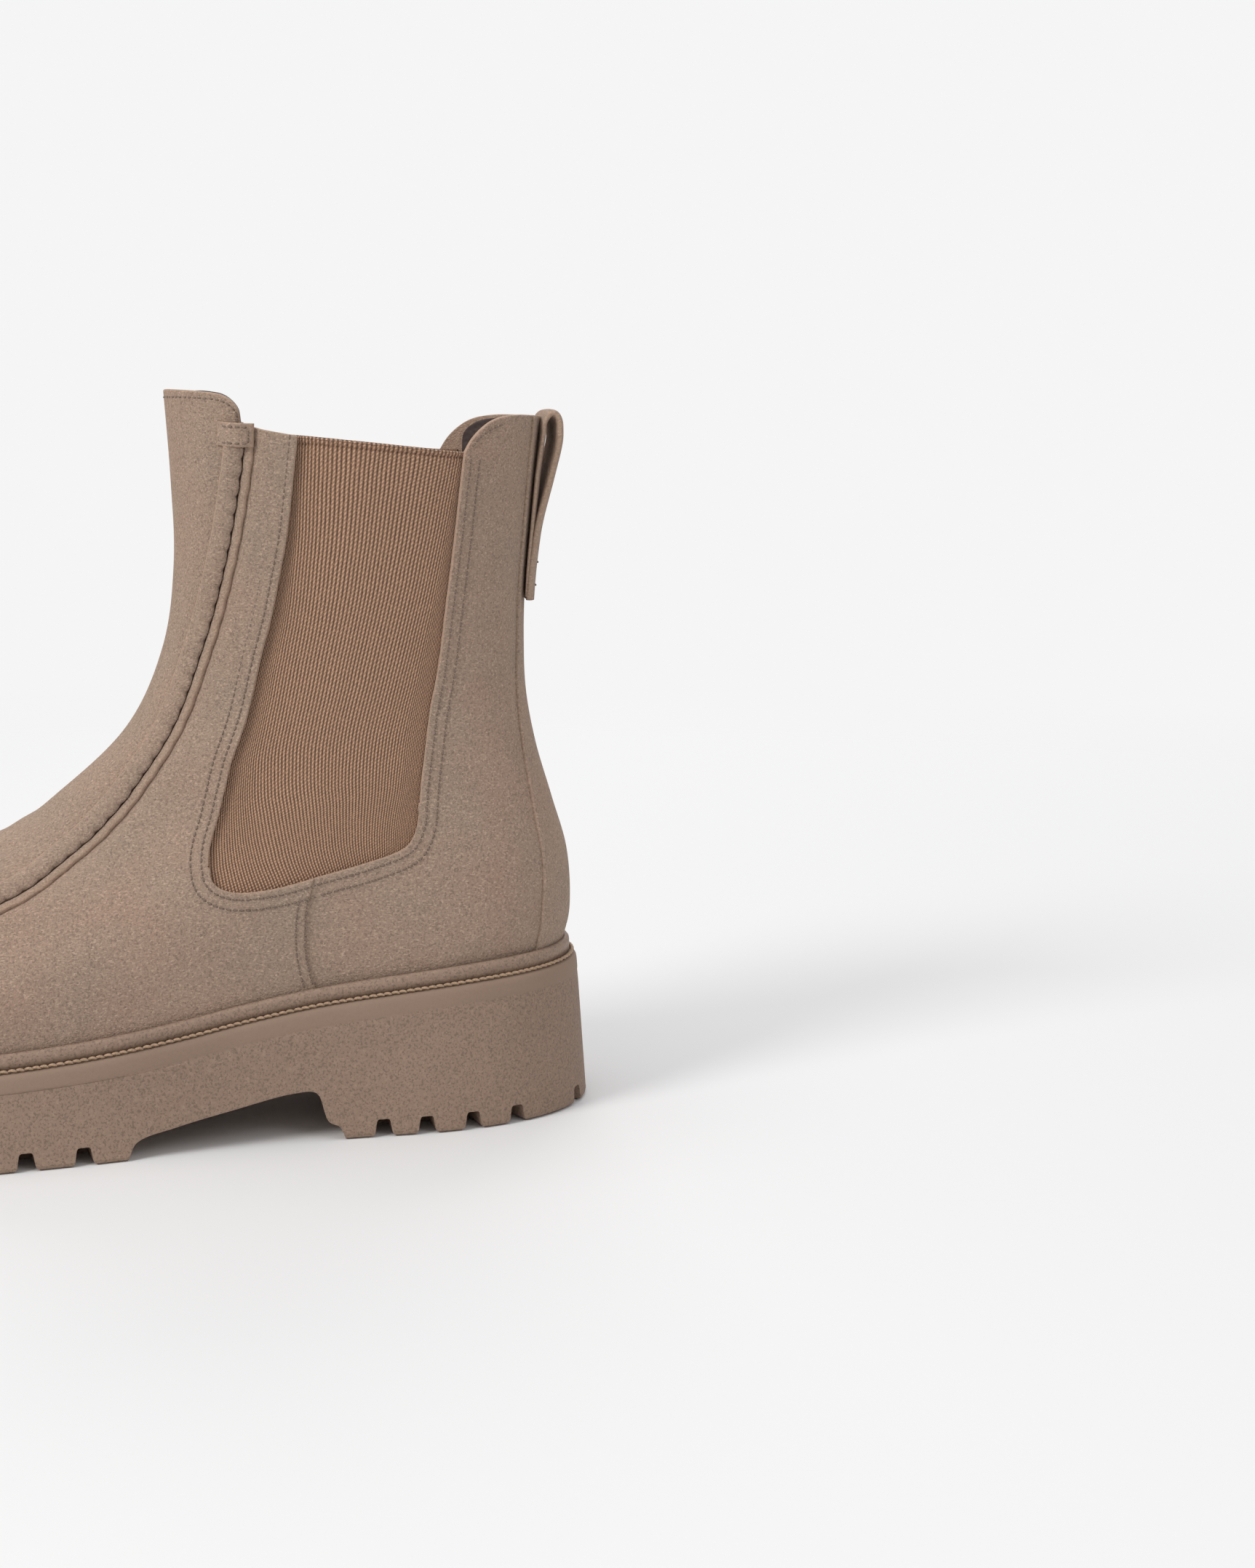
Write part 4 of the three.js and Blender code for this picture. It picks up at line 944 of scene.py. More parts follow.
def quarter_patch():
    """Quarter from the back strip to the gore, sole to collar in one piece."""
    def back(s):
        rise = np.asarray(s, float)
        return np.stack([strip_edge(rise, -5), rise], -1)

    front = joined(straight((REAR_WING, 0), GORE_HEEL_END), backwards(gore_rear), 0.36)
    top = line([tuple(back(1)), place(22, 198), place(28.2, 196.8), place(32.4, 194.2), place(35.3, 191.2),
                place(37.3, 188)])
    return cover(straight((float(strip_edge(0, -5)), 0), (REAR_WING, 0)), top, back, front)


def quarter_wing_patch():
    rear = straight((REAR_WING + 0.012, 0), place(50.4, 91.4))
    middle = [tuple(gore_heel(np.array(k))) for k in np.linspace(0, 1, 9)]
    top = line([place(50.4, 91.4)] + middle + [place(84.5, 71.8)])
    front = straight((FEATHER_SEAM - 0.02, 0), place(84.5, 71.8))
    return cover(straight((REAR_WING + 0.012, 0), (FEATHER_SEAM - 0.02, 0)), top, rear, front)


def strip_patch(s, t):
    edge = strip_edge(t)
    return np.stack([edge + (2 - 2 * edge) * s, t], -1)


def gore_patch():
    rear = side_line([(52, 74), (47, 90), (45, 101), (42, 120.5), (37.5, 146), (34.2, 170), (31.9, 188)])
    front = side_line([(105, 64), (115, 76.5), (113, 87), (107.5, 106), (101, 128), (95.6, 147), (91.3, 170),
                       (88.6, 192.5)])
    bottom = line([tuple(rear(np.array(0.0))), place(65, 70.8), place(81, 66.8), tuple(front(np.array(0.0)))])
    top = line([tuple(rear(np.array(1.0))), place(37.3, 188), place(60, 190.2), place(83.4, 192.4),
                tuple(front(np.array(1.0)))])
    return cover(bottom, top, rear, front)


def seam_tab_patch():
    low_rear, low_front = place(94.6, 189.2), place(104, 189.8)
    high_rear, high_front = place(94.4, 195.9), place(103.8, 196.5)
    return cover(straight(low_rear, low_front), straight(high_rear, high_front),
                 straight(low_rear, high_rear), straight(low_front, high_front))


def front_lining_patch():
    rear = line([(FEATHER_SEAM - 0.01, 0.012), place(82, 52), place(84, 60), place(100, 60.5), place(116, 64),
                 place(119, 74),
                 place(115.5, 89), place(110, 107), place(103.5, 128.5), place(98.5, 148), place(94.2, 171),
                 place(91.6, 193.3)])
    top = line([place(91.6, 193.3), place(98.6, 195.3), place(99.6, 199.8), place(102.5, 203),
                place(107.6, 204.8), (0, 0.992)])
    half = cover(straight((FEATHER_SEAM - 0.01, 0.012), (0, 0.012)), top, rear,
                 straight((0, 0.012), (0, 0.992)))
    return both_sides(half)


def back_lining_patch():
    front = line([(FEATHER_SEAM + 0.01, 0.012), place(79, 52), place(75, 60), place(60, 64), place(47.5, 71),
                  place(44, 80),
                  place(42.5, 95), place(38.5, 120), place(34, 146), place(31.4, 170), place(30.4, 188)])
    top = line([place(30.4, 188), place(30, 192.6), place(26.8, 195.6), place(21, 197), (1, 0.992)])
    half = cover(straight((FEATHER_SEAM + 0.01, 0.012), (1, 0.012)), top, front,
                 straight((1, 0.012), (1, 0.992)))
    return round_back(half)


QUARTER_LEVEL = -0.5  # the quarters lie this far inside the vamp's surface
PANELS = {}


def panels():
    if not PANELS:
        tucked = {"left": lambda t: 1 + 0 * t}
        PANELS.update(
            vamp=Vamp(vamp_patch(), cell=1.7, round_edge=0.4, open_at={"bottom": vamp_joined}),
            apron=Apron(apron_patch(), outer=-0.1, cell=1.7),
            back_strip=Strip(strip_patch, outer=0.35, cell=1.4),
            front_lining=Lining(front_lining_patch(), outer=-1.55, thick=0.9, round_edge=0.3),
            back_lining=Lining(back_lining_patch(), outer=-2.2, thick=0.9, round_edge=0.3),
        )
        for side, turn_round in (("lateral", lambda patch: patch), ("medial", other_side)):
            PANELS["vamp_wing_" + side] = Panel(turn_round(vamp_wing_patch()), outer=-0.03,
                                                open_at={"right": tucked["left"]})
            PANELS["quarter_" + side] = Panel(turn_round(quarter_patch()), outer=QUARTER_LEVEL, thick=1.3,
                                              cell=1.6, round_edge=0.4,
                                              open_at={"right": lambda t: (t < 0.355).astype(float),
                                                       **tucked})
            PANELS["quarter_wing_" + side] = Panel(turn_round(quarter_wing_patch()), outer=-0.53, thick=1.27,
                                                   open_at=tucked)
            PANELS["gore_" + side] = Gore(turn_round(gore_patch()), outer=-2.0, thick=1.0, cell=1.4,
                                          round_edge=0.4)
            PANELS["seam_tab_" + side] = Tab(turn_round(seam_tab_patch()), outer=1.45, thick=1.4,
                                             round_edge=0.4)
    return PANELS


def make_upper():
    made = panels()
    suede = finish_named("suede")
    vamp = dressed(made["vamp"].build("vamp_suede", columns=300, rows=44), suede, "foot")
    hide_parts("vamp")
    apron = dressed(made["apron"].build("apron_suede", columns=40, rows=120), suede, "foot")
    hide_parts("apron")
    strip = dressed(made["back_strip"].build("back_strip_suede", columns=24), suede)
    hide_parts("back_strip_lower", "back_strip_upper")
    hinge_band(strip)
    for side in ("lateral", "medial"):
        wing = made["vamp_wing_" + side].build("vamp_wing_" + side, columns=30, rows=20)
        dressed(wing, suede, "foot")
        quarter = dressed(made["quarter_" + side].build("quarter_suede_" + side), suede)
        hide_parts("quarter_lower_" + side, "quarter_upper_" + side)
        hinge_band(quarter)
        hinge_band(dressed(made["quarter_wing_" + side].build("quarter_wing_" + side, columns=36, rows=24),
                           suede))
        tab = dressed(made["seam_tab_" + side].build("seam_tab_suede_" + side, columns=24, rows=10), suede,
                      "foot")
        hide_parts("seam_tab_" + side)


def make_gores():
    fold_rows = (0.5, 0.8, 1.1, 1.4, 1.6, 1.75, 1.9, 2.05, 2.2, 2.5, 3, 4)
    for side in ("lateral", "medial"):
        gore = panels()["gore_" + side].build("gore_elastic_" + side, columns=40, rows=70, top_rows=fold_rows)
        dressed(gore, finish_named("elastic"))
        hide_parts("gore_" + side)
        gore_swing(gore)


def make_linings():
    lining = finish_named("lining")
    front = dressed(panels()["front_lining"].build("front_lining_leather", columns=120, rows=60), lining,
                    "foot")
    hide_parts("front_lining")
    back = dressed(panels()["back_lining"].build("back_lining_leather", columns=100, rows=60), lining)
    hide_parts("back_lining_lower", "back_lining_upper")
    hinge_band(back)


def make_seam_roll():
    """The rolled edge of the apron over the seam, pinched by each stitch, with the stitches."""
    p, way, out = run_of(seam_path())
    side = np.cross(way, out)
    arc = np.arange(len(p)) * SAMPLE
    lobe = np.abs(np.cos(math.pi * arc / SEAM_PITCH)) ** 0.55
    across = [-4.0, -3.95, -3.75, -3.4, -2.9, -2.2, -1.3, -0.3, 0.4, 0.85, 1.05, 1.0, 0.9]
    swell = [0, 0, 0, 0, 0, 0, 0.05, 0.15, 0.4, 0.75, 0.85, 0.6, 0]
    high = [-0.8, 1.0, 2.0, 2.6, 2.85, 2.9, 2.85, 2.6, 2.15, 1.6, 1.0, 0.35, -1.0]
    skip = slice(None, None, 2)
    reach = np.array(across) + np.outer(lobe[skip], swell)
    rise = np.array(high) * (0.94 + 0.06 * lobe[skip, None])
    rings = p[skip, None] + side[skip, None] * reach[..., None] + out[skip, None] * rise[..., None]
    # Painted highlight: the edge value pales the suede along the roll's crest, where light falls on the
    # ridge.
    painted_crest_highlight = np.tile(np.exp(-((np.array(across) + 3.5) / 0.4) ** 2), (len(rings), 1)).ravel()
    roll = dressed(swept("apron_roll_suede", rings, values={"edge": 0.9 * painted_crest_highlight}), finish_named("suede"),
                   "foot")
    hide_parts("apron_roll")
    lip_across = [1.6, 1.75, 2.1, 2.8, 3.5, 4.0, 4.2, 4.25]
    lip_high = [-1.0, 0.35, 0.7, 0.85, 0.85, 0.65, 0.3, -1.0]
    waver = 0.12 * np.sin(arc[skip, None] * 0.9) * np.array([0, 0, 0, 0, 0.5, 1, 1, 1])
    sides = np.array(lip_across) + waver
    lift = np.array(lip_high)[None, :, None]
    rings = p[skip, None] + side[skip, None] * sides[..., None] + out[skip, None] * lift
    raw = np.tile([0, 0, 0, 0.1, 0.3, 0.8, 0.8, 0.5], (len(rings), 1)).ravel()
    dressed(swept("vamp_raw_edge", rings, values={"edge": raw}), finish_named("suede"), "foot")
    start = int(SEAM_PITCH / 2 / SAMPLE)
    holes = (p[start:] + side[start:] * 1.55 + out[start:] * 0.9, way[start:], out[start:])
    first = stitches("apron_seam_stitches", [holes], pitch=SEAM_PITCH, length=1.6, radius=0.27, splay=1.1)
    dressed(first, finish_named("suede_thread"), "foot")


GORE_ROWS = (2.1, 5.1)  # the double row's distances from the gore
SIDE_SEAM_ROWS = (-1.9, -4.4)  # on the toe side of the seam


def stitch_row(path, outer):
    return run_of(path, outer + 0.02)


def make_stitching(settings):
    """Sewn rows: round the gores, down the side seams and along the collar and its tabs."""
    made, thread = panels(), finish_named("suede_thread")
    fixed, tall = [], []
    pitch = round(settings.stitch_pitch, 3)
    for side, over in (("lateral", lambda path: path), ("medial", turned_over)):
        front = np.concatenate([sampled(backwards(gore_front)), sampled(backwards(gore_foot))[1:]])
        rear = np.concatenate([sampled(backwards(gore_heel)), sampled(backwards(gore_rear))[1:]])
        for distance in GORE_ROWS:
            fixed.append(stitch_row(over(beside(front, distance)), 0.0))
            tall.append(stitch_row(over(beside(rear, distance)), QUARTER_LEVEL))
        seam = sampled(straight((FEATHER_SEAM, 0.03), place(81.5, 67.2)))
        for distance in SIDE_SEAM_ROWS:
            fixed.append(stitch_row(over(beside(seam, distance)), 0.0))
        tall.append(stitch_row(made["quarter_" + side].row("top", 2.3, 0.32, 0.9), QUARTER_LEVEL))
        tab = made["seam_tab_" + side]
        for where in (("bottom", 1.1, 0.12, 0.88), ("top", 1.2, 0.12, 0.88), ("left", 1.1, 0.2, 0.8)):
            path = tab.row(*where)
            p, way, out = run_of(path, 1.45)
            w = np.linspace(where[2], where[3], len(p))
            s = w if where[0] in ("bottom", "top") else np.full(len(p), where[1] / tab.across.mean())
            fixed.append((p + out * tab.lift(s, 0.5 + 0 * s, 0, 0)[:, None], way, out))
    path = made["apron"].row("top", 2.8, 0.03, 0.97, count=900)
    p, way, out = run_of(path, -0.1)
    fixed.append((p + out * 0.75, way, out))
    dressed(stitches("vamp_stitches", fixed, pitch), thread, "foot")
    hinge_band(dressed(stitches("quarter_stitches", tall, pitch), thread))


LOOP_TOP = HEEL_FOOT + SHAFT_HEIGHT * 0.957
LOOP_STANDOFF = 6.8
LOOP_DROP = 52
HEEL_ROUND = 62  # twice the radius of the shaft's back
loop_off = through([(0, LOOP_STANDOFF * 0.8), (6, LOOP_STANDOFF), (16, LOOP_STANDOFF * 0.86),
                    (30, LOOP_STANDOFF * 0.55),
                    (40, 3.2), (LOOP_DROP, 2.9)])


def back_at(up):
    """The back of the upper in side view at a height."""
    return on_last(np.array(1.0), rise_at(np.array([1.0]), up))[..., 0].item()


def make_pull_loop():
    """The webbing of folded suede from the strip, over the fold and down to its sewn end."""
    inner = [(back_at(up) - 1.15, up) for up in np.linspace(LOOP_TOP - LOOP_DROP + 1, LOOP_TOP - 5, 14)]
    outer = [(back_at(LOOP_TOP - drop) - loop_off(drop) + 1,
              LOOP_TOP - drop) for drop in np.linspace(4, LOOP_DROP, 20)]
    reach = (inner[-1][0] - outer[0][0]) / 2
    middle = inner[-1][0] - reach
    fold = [(middle + reach * math.cos(a),
             LOOP_TOP - 3.6 + 4.2 * math.sin(a)) for a in np.radians(np.arange(18, 163, 18))]
    course = line(inner + fold + [(float(a), u) for a, u in outer])(np.linspace(0, 1, 130))
    way = np.gradient(course, axis=0)
    way /= np.linalg.norm(way, axis=1, keepdims=True)
    thin = np.interp(np.arange(130), [0, 40, 60, 129], [0.6, 0.75, 1.05, 1.05])
    across = np.interp(np.arange(130), [0, 50, 110, 129], [10.2, 9.8, 9.9, 10.6])
    angle = np.linspace(0, 2 * math.pi, 28, endpoint=False)
    wide = np.sign(np.cos(angle)) * np.abs(np.cos(angle)) ** 0.32
    deep = np.sign(np.sin(angle)) * np.abs(np.sin(angle)) ** 0.6
    crown = 1 + 0.25 * (1 - wide**2)
    away = np.stack([-way[:, 1], way[:, 0]], -1)
    flat = course[:, None] + away[:, None] * (thin[:, None] * (deep * crown))[..., None]
    hug = np.interp(np.arange(130), [0, 30, 48, 62, 105, 129], [1, 0.9, 0.15, 0.1, 0.9, 1])
    out = across[:, None] * wide
    rings = np.stack([flat[..., 0] + hug[:, None] * out**2 / HEEL_ROUND, out, flat[..., 1]], -1)
    edge = np.tile(np.clip(np.abs(wide) * 6 - 5, 0, 1) * 0.7, (130, 1)).ravel()
    loop = dressed(swept("pull_loop_suede", rings, values={"edge": edge}), finish_named("suede"))
    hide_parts("pull_loop_base", "pull_loop")
    rows = []
    cross = np.arange(-7.6, 7.6, SAMPLE)
    for k in (116, 124):
        p = np.stack([course[k, 0] + cross**2 / HEEL_ROUND, cross, np.full(len(cross), course[k, 1])], -1)
        out = np.array([away[k, 0], 0, away[k, 1]]) * (-1 if away[k, 0] > 0 else 1)
        p += out * thin[k] * 1.2
        rows.append((p, np.tile([0.0, 1.0, 0.0], (len(p), 1)), np.tile(out, (len(p), 1))))
    sewn = dressed(stitches("pull_loop_stitches", rows, radius=0.24), finish_named("suede_thread"))
    start, end = placed([back_at(180) - 3.0, 0, 0])[1], placed([back_at(180) - 6.6, 0, 0])[1]
    for piece in (loop, sewn):
        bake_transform(piece)


# ---------------------------------------------------------------- the sole
RIM_COUNT = 480
NOTCHES = [5.4, 25.8, 39.5, 52.8, 65.3, 145.8, 160.9, 175, 189, 203, 217, 231, 244]
TOE_NOTCHES = 4
LUG_DEPTH = 5
LUG_REACH = 13
LUG_HALF = 2.5
LUG_HALF_TOP = 1.8
BAR_PITCH = 16.6
BAR_WIDTH = 8.5
ARCH = [(74.9, 0), (76.5, 3.5), (79.6, 5.3), (82.7, 13.4), (89.2, 13.8), (105, 10.9), (120.7, 7.7),
        (131.6, 4.7), (134.1, 0)]


def rim_ring(offset, height_of):
    flat = plan_outline(offset, RIM_COUNT)
    return np.column_stack([flat, height_of(flat[:, 0])])


def layered(name, rings, values=None):
    """A closed body from rings round the foot's outline, with its first and last ring filled across."""
    n, count = RIM_COUNT, len(rings)
    faces = [f for k in range(count - 1) for f in grid_faces(2, n, k * n, closed=True).tolist()]
    for k in (0, count - 1):
        for i in range(n // 2):
            ring = [k * n + i, k * n + i + 1, k * n + (n - i - 1) % n, k * n + (n - i) % n]
            faces.append(list(dict.fromkeys(ring)))
    return mesh_piece(name, np.concatenate(rings), faces, values=values)


def over_top(rise):
    return lambda along: sole_top(along) + rise


def prism(name, outline, start, end):
    """A cutter between two copies of an outline, placed by the given functions of its points."""
    n = len(outline)
    faces = [[i, (i + 1) % n, (i + 1) % n + n, i + n] for i in range(n)]
    faces += [list(range(n))[::-1], list(range(n, 2 * n))]
    return mesh_piece(name, np.array([start(*p) for p in outline] + [end(*p) for p in outline]), faces)


def notch_cutter(point, after):
    way = after - point
    way /= np.linalg.norm(way)
    inward = np.array([-way[1], way[0]])
    floor = float(spring(point[0]))
    half = [(LUG_HALF + 2.4, -1.2), (LUG_HALF + 1.1, 0.02), (LUG_HALF + 0.4, 0.35), (LUG_HALF, 1.0),
            (LUG_HALF_TOP + 0.1, LUG_DEPTH - 0.7), (LUG_HALF_TOP - 0.2, LUG_DEPTH - 0.15),
            (LUG_HALF_TOP - 0.6, LUG_DEPTH)]
    outline = half + [(-x, z) for x, z in half[::-1]]

    def at(reach):
        return lambda x, z: (*(point + way * x + inward * reach), floor + z)

    return prism("notch", outline, at(-6), at(LUG_REACH))


def notch_cutters():
    outer = plan_outline(LIP + FLARE, 720)
    cutters, ends = [], []
    for way in (1, -1):
        for where in NOTCHES:
            along = where / 279.2 * SOLE_LENGTH
            i = 0
            while i < 359 and outer[way * i % 720][0] > along:
                i += 1
            cutters.append(notch_cutter(outer[way * i % 720], outer[(way * i + 1) % 720]))
        ends.append(i)
    for k in range(1, TOE_NOTCHES + 1):
        i = round(-ends[1] + (ends[0] + ends[1]) * k / (TOE_NOTCHES + 1))
        cutters.append(notch_cutter(outer[i % 720], outer[(i + 1) % 720]))
    return cutters


def pocket_cutters(low, high):
    """The hollows between the tread's cross bars, inside the ring of lugs."""
    edge = plan_outline(-LUG_REACH + 1, 720)
    cells, start = [], low
    bars = np.arange(low + 9, high - 8, BAR_PITCH)
    for bar in bars:
        cells.append((start, bar))
        start = bar + BAR_WIDTH
    cells.append((start, high))
    cutters = []
    for a, b in cells:
        a, b = max(a, edge[:, 0].min() + 0.5), min(b, edge[:, 0].max() - 0.5)
        if b - a < 2:
            continue
        stations = np.linspace(a, b, 9)
        outer_side, inner_side = (edge[1:360], edge[:359:-1])
        left = np.interp(stations, outer_side[::-1, 0], outer_side[::-1, 1])
        right = np.interp(stations, inner_side[::-1, 0], inner_side[::-1, 1])
        outline = [*zip(stations, left), *zip(stations[::-1], right[::-1])]
        centre = np.mean(outline, axis=0)

        def at(height, grow):
            return lambda x, y: (*(centre + (np.array([x, y]) - centre) * grow), float(spring(x)) + height)

        cutters.append(prism("pocket", outline, at(-2, 1.04), at(LUG_DEPTH - 0.4, 0.97)))
    return cutters


def arch_cutter():
    smooth = line(ARCH)(np.linspace(0, 1, 49))
    outline = [(74.9, -3), *map(tuple, smooth), (134.1, -3)]
    return prism("arch", outline, lambda x, z: (x, -90, z), lambda x, z: (x, 90, z))


def carved(body, cutters):
    """The body with the cutters taken out of it."""
    for cutter in cutters:
        step = body.modifiers.new("cut", "BOOLEAN")
        step.operation, step.solver, step.object = "DIFFERENCE", "MANIFOLD", cutter
    bpy.context.view_layer.update()
    shape = bpy.data.meshes.new_from_object(body.evaluated_get(bpy.context.evaluated_depsgraph_get()))
    body.modifiers.clear()
    old, body.data = body.data, shape
    shape.name = body.name
    bpy.data.meshes.remove(old)
    for cutter in cutters:
        bpy.data.meshes.remove(cutter.data)
    return body


def make_outsole():
    def level(share, extra=0.0):
        return lambda along: sole_top(along) + (spring(along) - sole_top(along)) * share + extra

    lip = [(-8, 0), (LIP - 1.7, 0), (LIP - 1.0, -0.12), (LIP - 0.4, -0.5), (LIP - 0.05, -1.1),
           (LIP + 0.12, -1.9),
           (LIP + 0.26, -3.4), (LIP + 0.34, -4.6), (LIP + 0.33, -5.0), (LIP + 0.27, -5.4), (LIP + 0.3, -5.8)]
    wall = [(LIP + FLARE * share, level(share)) for share in np.linspace(0.2, 0.94, 12)]
    foot = [(LIP + FLARE - 0.05, level(1, 1.3)), (LIP + FLARE - 0.25, level(1, 0.5)),
            (LIP + FLARE - 0.9, level(1, 0.05)),
            (LIP + FLARE - 1.6, level(1))]
    rings = [rim_ring(offset, level(0, drop)) for offset, drop in lip]
    rings += [rim_ring(offset, height_of) for offset, height_of in wall + foot]
    band = np.repeat([1.0] * 9 + [0.5] + [0.0] * (len(rings) - 10), RIM_COUNT)
    body = layered("outsole_rubber", rings, {"band": band})
    carved(body, [arch_cutter(), *notch_cutters(), *pocket_cutters(9, 67), *pocket_cutters(143, 262)])
    body.data.shade_smooth()
    body.data.set_sharp_from_angle(angle=math.radians(28))
    dressed(body, finish_named("rubber"), "foot")
    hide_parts("outsole")


def make_welt(settings):
    section = [(-7, 0.3), (2.75, 0.3), (2.78, 3.5), (2.66, 4.25), (2.3, 4.72), (1.75, 4.95), (1.15, 4.92),
               (0.7, 4.65),
               (0.42, 4.05), (0.32, 2.3), (-7, 2.05)]
    rings = [rim_ring(offset, over_top(rise)) for offset, rise in section]
    n = RIM_COUNT
    faces = [f for k in range(len(rings)) for f in
             [[k * n + i, k * n + (i + 1) % n, (k + 1) % len(rings) * n + (i + 1) % n,
               (k + 1) % len(rings) * n + i] for i in range(n)]]
    welt = mesh_piece("storm_welt", np.concatenate(rings), faces)
    dressed(welt, finish_named("welt"), "foot")
    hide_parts("welt")
    ring = np.vstack([rim_ring(3.62, over_top(0.62))] * 2)[: RIM_COUNT + 1]
    length = np.concatenate([[0], np.cumsum(np.linalg.norm(np.diff(ring, axis=0), axis=1))])
    even = np.arange(0, length[-1], SAMPLE)
    p = np.stack([np.interp(even, length, ring[:, k]) for k in range(3)], -1)
    way = np.gradient(p, axis=0)
    way /= np.linalg.norm(way, axis=1, keepdims=True)
    up = np.tile([0.0, 0.0, 1.0], (len(p), 1))
    thread = stitches("welt_thread", [(p, way, up)], pitch=round(settings.welt_pitch, 3), length=2.6,
                      radius=0.42, sink=0.05, splay=0.3)
    dressed(thread, finish_named("thread"), "foot")
    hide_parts("welt_stitching")


def make_insides():
    """The footbed, and the finishes of the pieces that stay inside."""
    low, high = WELT + 3 * GAP + 2, WELT + 3 * GAP + 2 + 3.2
    rings = [rim_ring(-7.3, over_top(low + 0.1)), rim_ring(-7.2, over_top(high - 0.9)),
             rim_ring(-7.4, over_top(high - 0.35)),
             rim_ring(-8.2, over_top(high)), rim_ring(-14, over_top(high - 0.25)),
             rim_ring(-20, over_top(high - 0.45))]
    footbed = dressed(layered("footbed_leather", rings), finish_named("lining"), "foot")
    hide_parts("footbed")
    for node, finish in (("filler", "cork"), ("shank", "steel"), ("insole_board", "board"),
                         ("heel_counter", "stiffener"), ("toe_puff", "stiffener")):
        bpy.data.objects[node].material_slots[0].material = finish_named(finish)


FLOOR_REACH = 1.2


def make_stage(settings):
    """Pale floor and backdrop, soft lights and the camera."""
    world = bpy.data.worlds.new("studio")
    bpy.context.scene.world = world
    world.use_nodes = True
    tree = world.node_tree
    soft, paper_white = tree.nodes["Background"], tree.nodes.new("ShaderNodeBackground")
    soft.inputs["Strength"].default_value = settings.ambient
    soft.inputs["Color"].default_value = (1, 1, 1, 1)
    paper_white.inputs["Color"].default_value = (*settings.backdrop, 1)
    choice, seen = tree.nodes.new("ShaderNodeMixShader"), tree.nodes.new("ShaderNodeLightPath")
    for start, end in ((seen.outputs["Is Camera Ray"], choice.inputs[0]), (soft.outputs[0], choice.inputs[1]),
                       (paper_white.outputs[0], choice.inputs[2]),
                       (choice.outputs[0], tree.nodes["World Output"].inputs[0])):
        tree.links.new(start, end)
    work = bmesh.new()
    bmesh.ops.create_circle(work, cap_ends=True, segments=96, radius=FLOOR_REACH)
    floor = bpy.data.meshes.new("floor")
    work.to_mesh(floor)
    work.free()
    stage = bpy.data.objects.new("studio_floor", floor)
    stage.location.z = -0.0002
    bpy.context.scene.collection.objects.link(stage)
    paper = Recipe("floor_paper", Roughness=0.9, Specular_IOR_Level=0.1)
    paper.skin.inputs["Base Color"].default_value = (0.815, 0.815, 0.82, 1)
    far = paper.add("ShaderNodeVectorMath", {"operation": "LENGTH"}, paper.place(), output="Value")
    clear = paper.tree.nodes.new("ShaderNodeBsdfTransparent")
    faded = paper.add("ShaderNodeMixShader", {}, paper.range(far, 0.28, FLOOR_REACH - 0.1))
    paper.tree.links.new(paper.skin.outputs[0], faded.socket.node.inputs[1])
    paper.tree.links.new(clear.outputs[0], faded.socket.node.inputs[2])
    paper.tree.links.new(faded.socket, paper.tree.nodes["Material Output"].inputs[0])
    stage.data.materials.append(paper.material)
    centre = Vector((0, 0, 0.08))
    for name, where, size, power, colour in (
        ("key_softbox", (0.8, -1.3, 1.15), 0.7, settings.key, (1, 0.99, 0.97)),
        ("fill_softbox", (1.3, 0.9, 1.3), 1.0, settings.key * 0.24, (0.97, 0.98, 1)),
        ("top_softbox", (0.0, -0.1, 1.9), 1.4, settings.key * 0.5, (1, 1, 1)),
        ("rim_softbox", (-1.2, 0.4, 1.0), 1.0, settings.key * 0.35, (1, 1, 1)),
    ):
        lamp = bpy.data.lights.new(name, "AREA")
        lamp.shape, lamp.size, lamp.energy, lamp.color = "DISK", size, power, colour
        holder = bpy.data.objects.new(name, lamp)
        holder.location = where
        holder.rotation_mode = "QUATERNION"
        holder.rotation_quaternion = (centre - Vector(where)).to_track_quat("-Z", "Y")
        bpy.context.scene.collection.objects.link(holder)
    camera = bpy.data.cameras.new("camera")
    camera.lens = 56.77
    camera.sensor_width = 36
    holder = bpy.data.objects.new("camera", camera)
    eye = placed([136.3, 703.8, 200])
    turn, fall = math.radians(12), math.radians(8.66)
    look = Vector((-math.cos(turn) * math.cos(fall), math.sin(turn) * math.cos(fall), -math.sin(fall)))
    holder.location = eye
    holder.rotation_mode = "QUATERNION"
    holder.rotation_quaternion = look.to_track_quat("-Z", "Y")
    bpy.context.scene.collection.objects.link(holder)
    bpy.context.scene.camera = holder
    bpy.context.scene.view_settings.view_transform = "Standard"
    bpy.context.scene.view_settings.exposure = 0.0


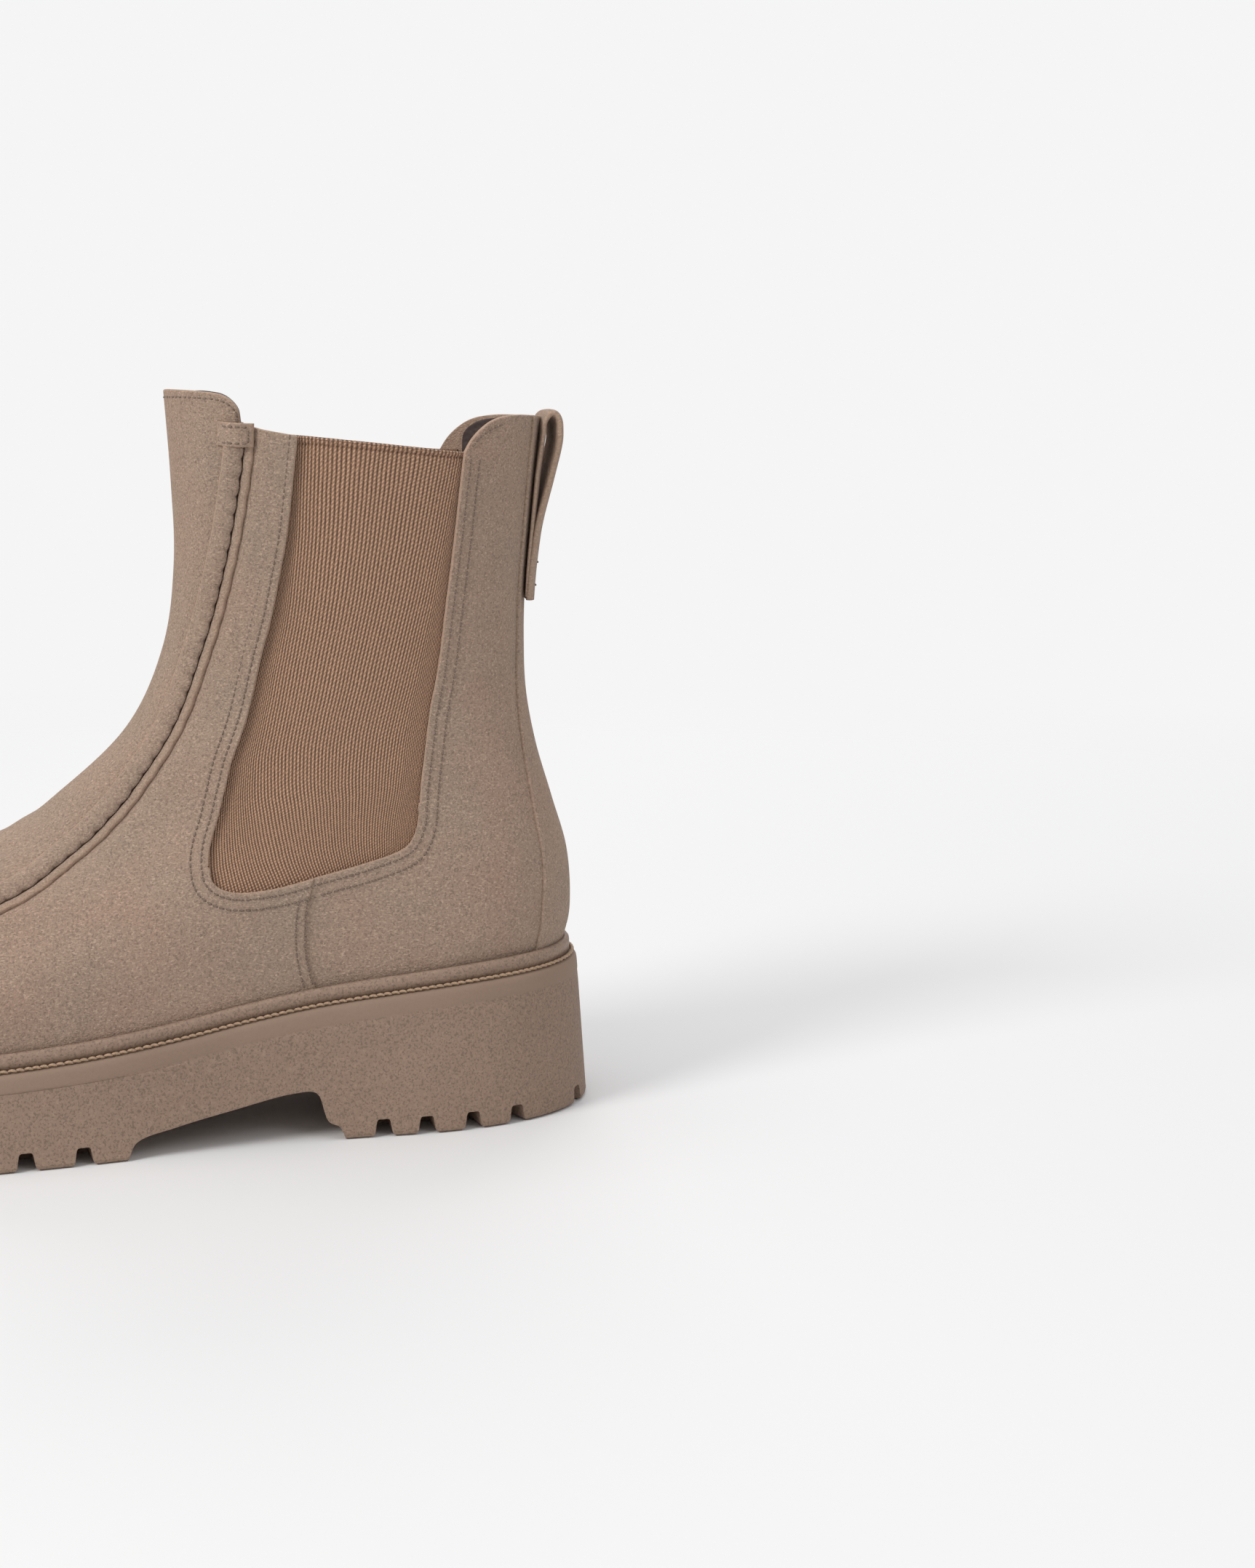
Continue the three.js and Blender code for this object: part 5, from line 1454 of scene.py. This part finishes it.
class BootSettings(bpy.types.PropertyGroup):
    stitch_pitch: FloatProperty(name="Stitch pitch",
                                description="Millimetres from one stitch of the upper to the next",
                                default=1.8, min=1.6, max=6.0)
    welt_pitch: FloatProperty(name="Welt stitch pitch",
                              description="Millimetres from one stitch of the welt to the next",
                              default=2.1, min=1.5, max=8.0)
    rib: FloatProperty(name="Rib spacing", description="Millimetres from one rib of the elastic to the next",
                       default=0.74, min=0.3, max=3.0)
    suede: FloatVectorProperty(name="Suede", description="Colour of the suede", subtype="COLOR",
                               default=(0.36, 0.262, 0.2))
    elastic: FloatVectorProperty(name="Elastic", description="Colour of the gores", subtype="COLOR",
                                 default=(0.36, 0.215, 0.14))
    lining: FloatVectorProperty(name="Lining", description="Colour of the lining leather", subtype="COLOR",
                                default=(0.045, 0.026, 0.022))
    rubber: FloatVectorProperty(name="Sole", description="Colour of the sole and welt", subtype="COLOR",
                                default=(0.285, 0.197, 0.145))
    thread: FloatVectorProperty(name="Thread", description="Colour of the stitching", subtype="COLOR",
                                default=(0.42, 0.28, 0.18))
    backdrop: FloatVectorProperty(name="Backdrop", description="Colour of the backdrop", subtype="COLOR",
                                  default=(0.913, 0.913, 0.913))
    key: FloatProperty(name="Key light", description="Power of the main softbox", default=17.0, min=0.0,
                       unit="POWER")
    ambient: FloatProperty(name="Ambient", description="Strength of the studio's even light", default=0.5,
                           min=0.0)


class BOOT_OT_finishes(bpy.types.Operator):
    """Make the suede, elastic, leather, rubber and thread finishes"""
    bl_idname = "boot.finishes"
    bl_label = "Finishes"

    def execute(self, context):
        make_finishes(context.scene.boot)
        return {"FINISHED"}


class BOOT_OT_upper(bpy.types.Operator):
    """Cut and last the suede panels"""
    bl_idname = "boot.upper"
    bl_label = "Upper"

    def execute(self, context):
        make_upper()
        return {"FINISHED"}


class BOOT_OT_gores(bpy.types.Operator):
    """Weave the elastic gores and fold their top edges"""
    bl_idname = "boot.gores"
    bl_label = "Gores"

    def execute(self, context):
        make_gores()
        return {"FINISHED"}


class BOOT_OT_linings(bpy.types.Operator):
    """Line the vamp, the front tab and the back of the shaft with leather"""
    bl_idname = "boot.linings"
    bl_label = "Linings"

    def execute(self, context):
        make_linings()
        return {"FINISHED"}


class BOOT_OT_seams(bpy.types.Operator):
    """Roll the apron seam and sew the rows of stitches"""
    bl_idname = "boot.seams"
    bl_label = "Seams"

    def execute(self, context):
        make_seam_roll()
        make_stitching(context.scene.boot)
        return {"FINISHED"}


class BOOT_OT_pull_loop(bpy.types.Operator):
    """Fold and sew the pull loop at the back"""
    bl_idname = "boot.pull_loop"
    bl_label = "Pull loop"

    def execute(self, context):
        make_pull_loop()
        return {"FINISHED"}


class BOOT_OT_sole(bpy.types.Operator):
    """Mould the lugged outsole, the storm welt and its thread"""
    bl_idname = "boot.sole"
    bl_label = "Sole and welt"

    def execute(self, context):
        make_outsole()
        make_welt(context.scene.boot)
        return {"FINISHED"}


class BOOT_OT_insides(bpy.types.Operator):
    """Cover the footbed and finish the hidden layers"""
    bl_idname = "boot.insides"
    bl_label = "Insides"

    def execute(self, context):
        make_insides()
        return {"FINISHED"}


class BOOT_OT_stage(bpy.types.Operator):
    """Set up the floor, the lights and the camera"""
    bl_idname = "boot.stage"
    bl_label = "Stage"

    def execute(self, context):
        make_stage(context.scene.boot)
        return {"FINISHED"}


OPERATORS = (BOOT_OT_stage, BOOT_OT_finishes, BOOT_OT_upper, BOOT_OT_gores, BOOT_OT_linings, BOOT_OT_seams,
             BOOT_OT_pull_loop,
             BOOT_OT_sole, BOOT_OT_insides)


class BOOT_PT_panel(bpy.types.Panel):
    """The boot's sizes, colours and pieces"""
    bl_label = "Chelsea boot"
    bl_idname = "BOOT_PT_panel"
    bl_space_type = "VIEW_3D"
    bl_region_type = "UI"
    bl_category = "Boot"

    def draw(self, context):
        for name in BootSettings.__annotations__:
            self.layout.prop(context.scene.boot, name)
        for kind in OPERATORS:
            self.layout.operator(kind.bl_idname)


CLASSES = (BootSettings, *OPERATORS, BOOT_PT_panel)


def register():
    for kind in CLASSES:
        bpy.utils.register_class(kind)
    bpy.types.Scene.boot = PointerProperty(type=BootSettings)


def unregister():
    del bpy.types.Scene.boot
    for kind in reversed(CLASSES):
        bpy.utils.unregister_class(kind)


def main():
    register()
    for kind in OPERATORS:
        group, name = kind.bl_idname.split(".")
        getattr(getattr(bpy.ops, group), name)()


if __name__ == "__main__":
    main()
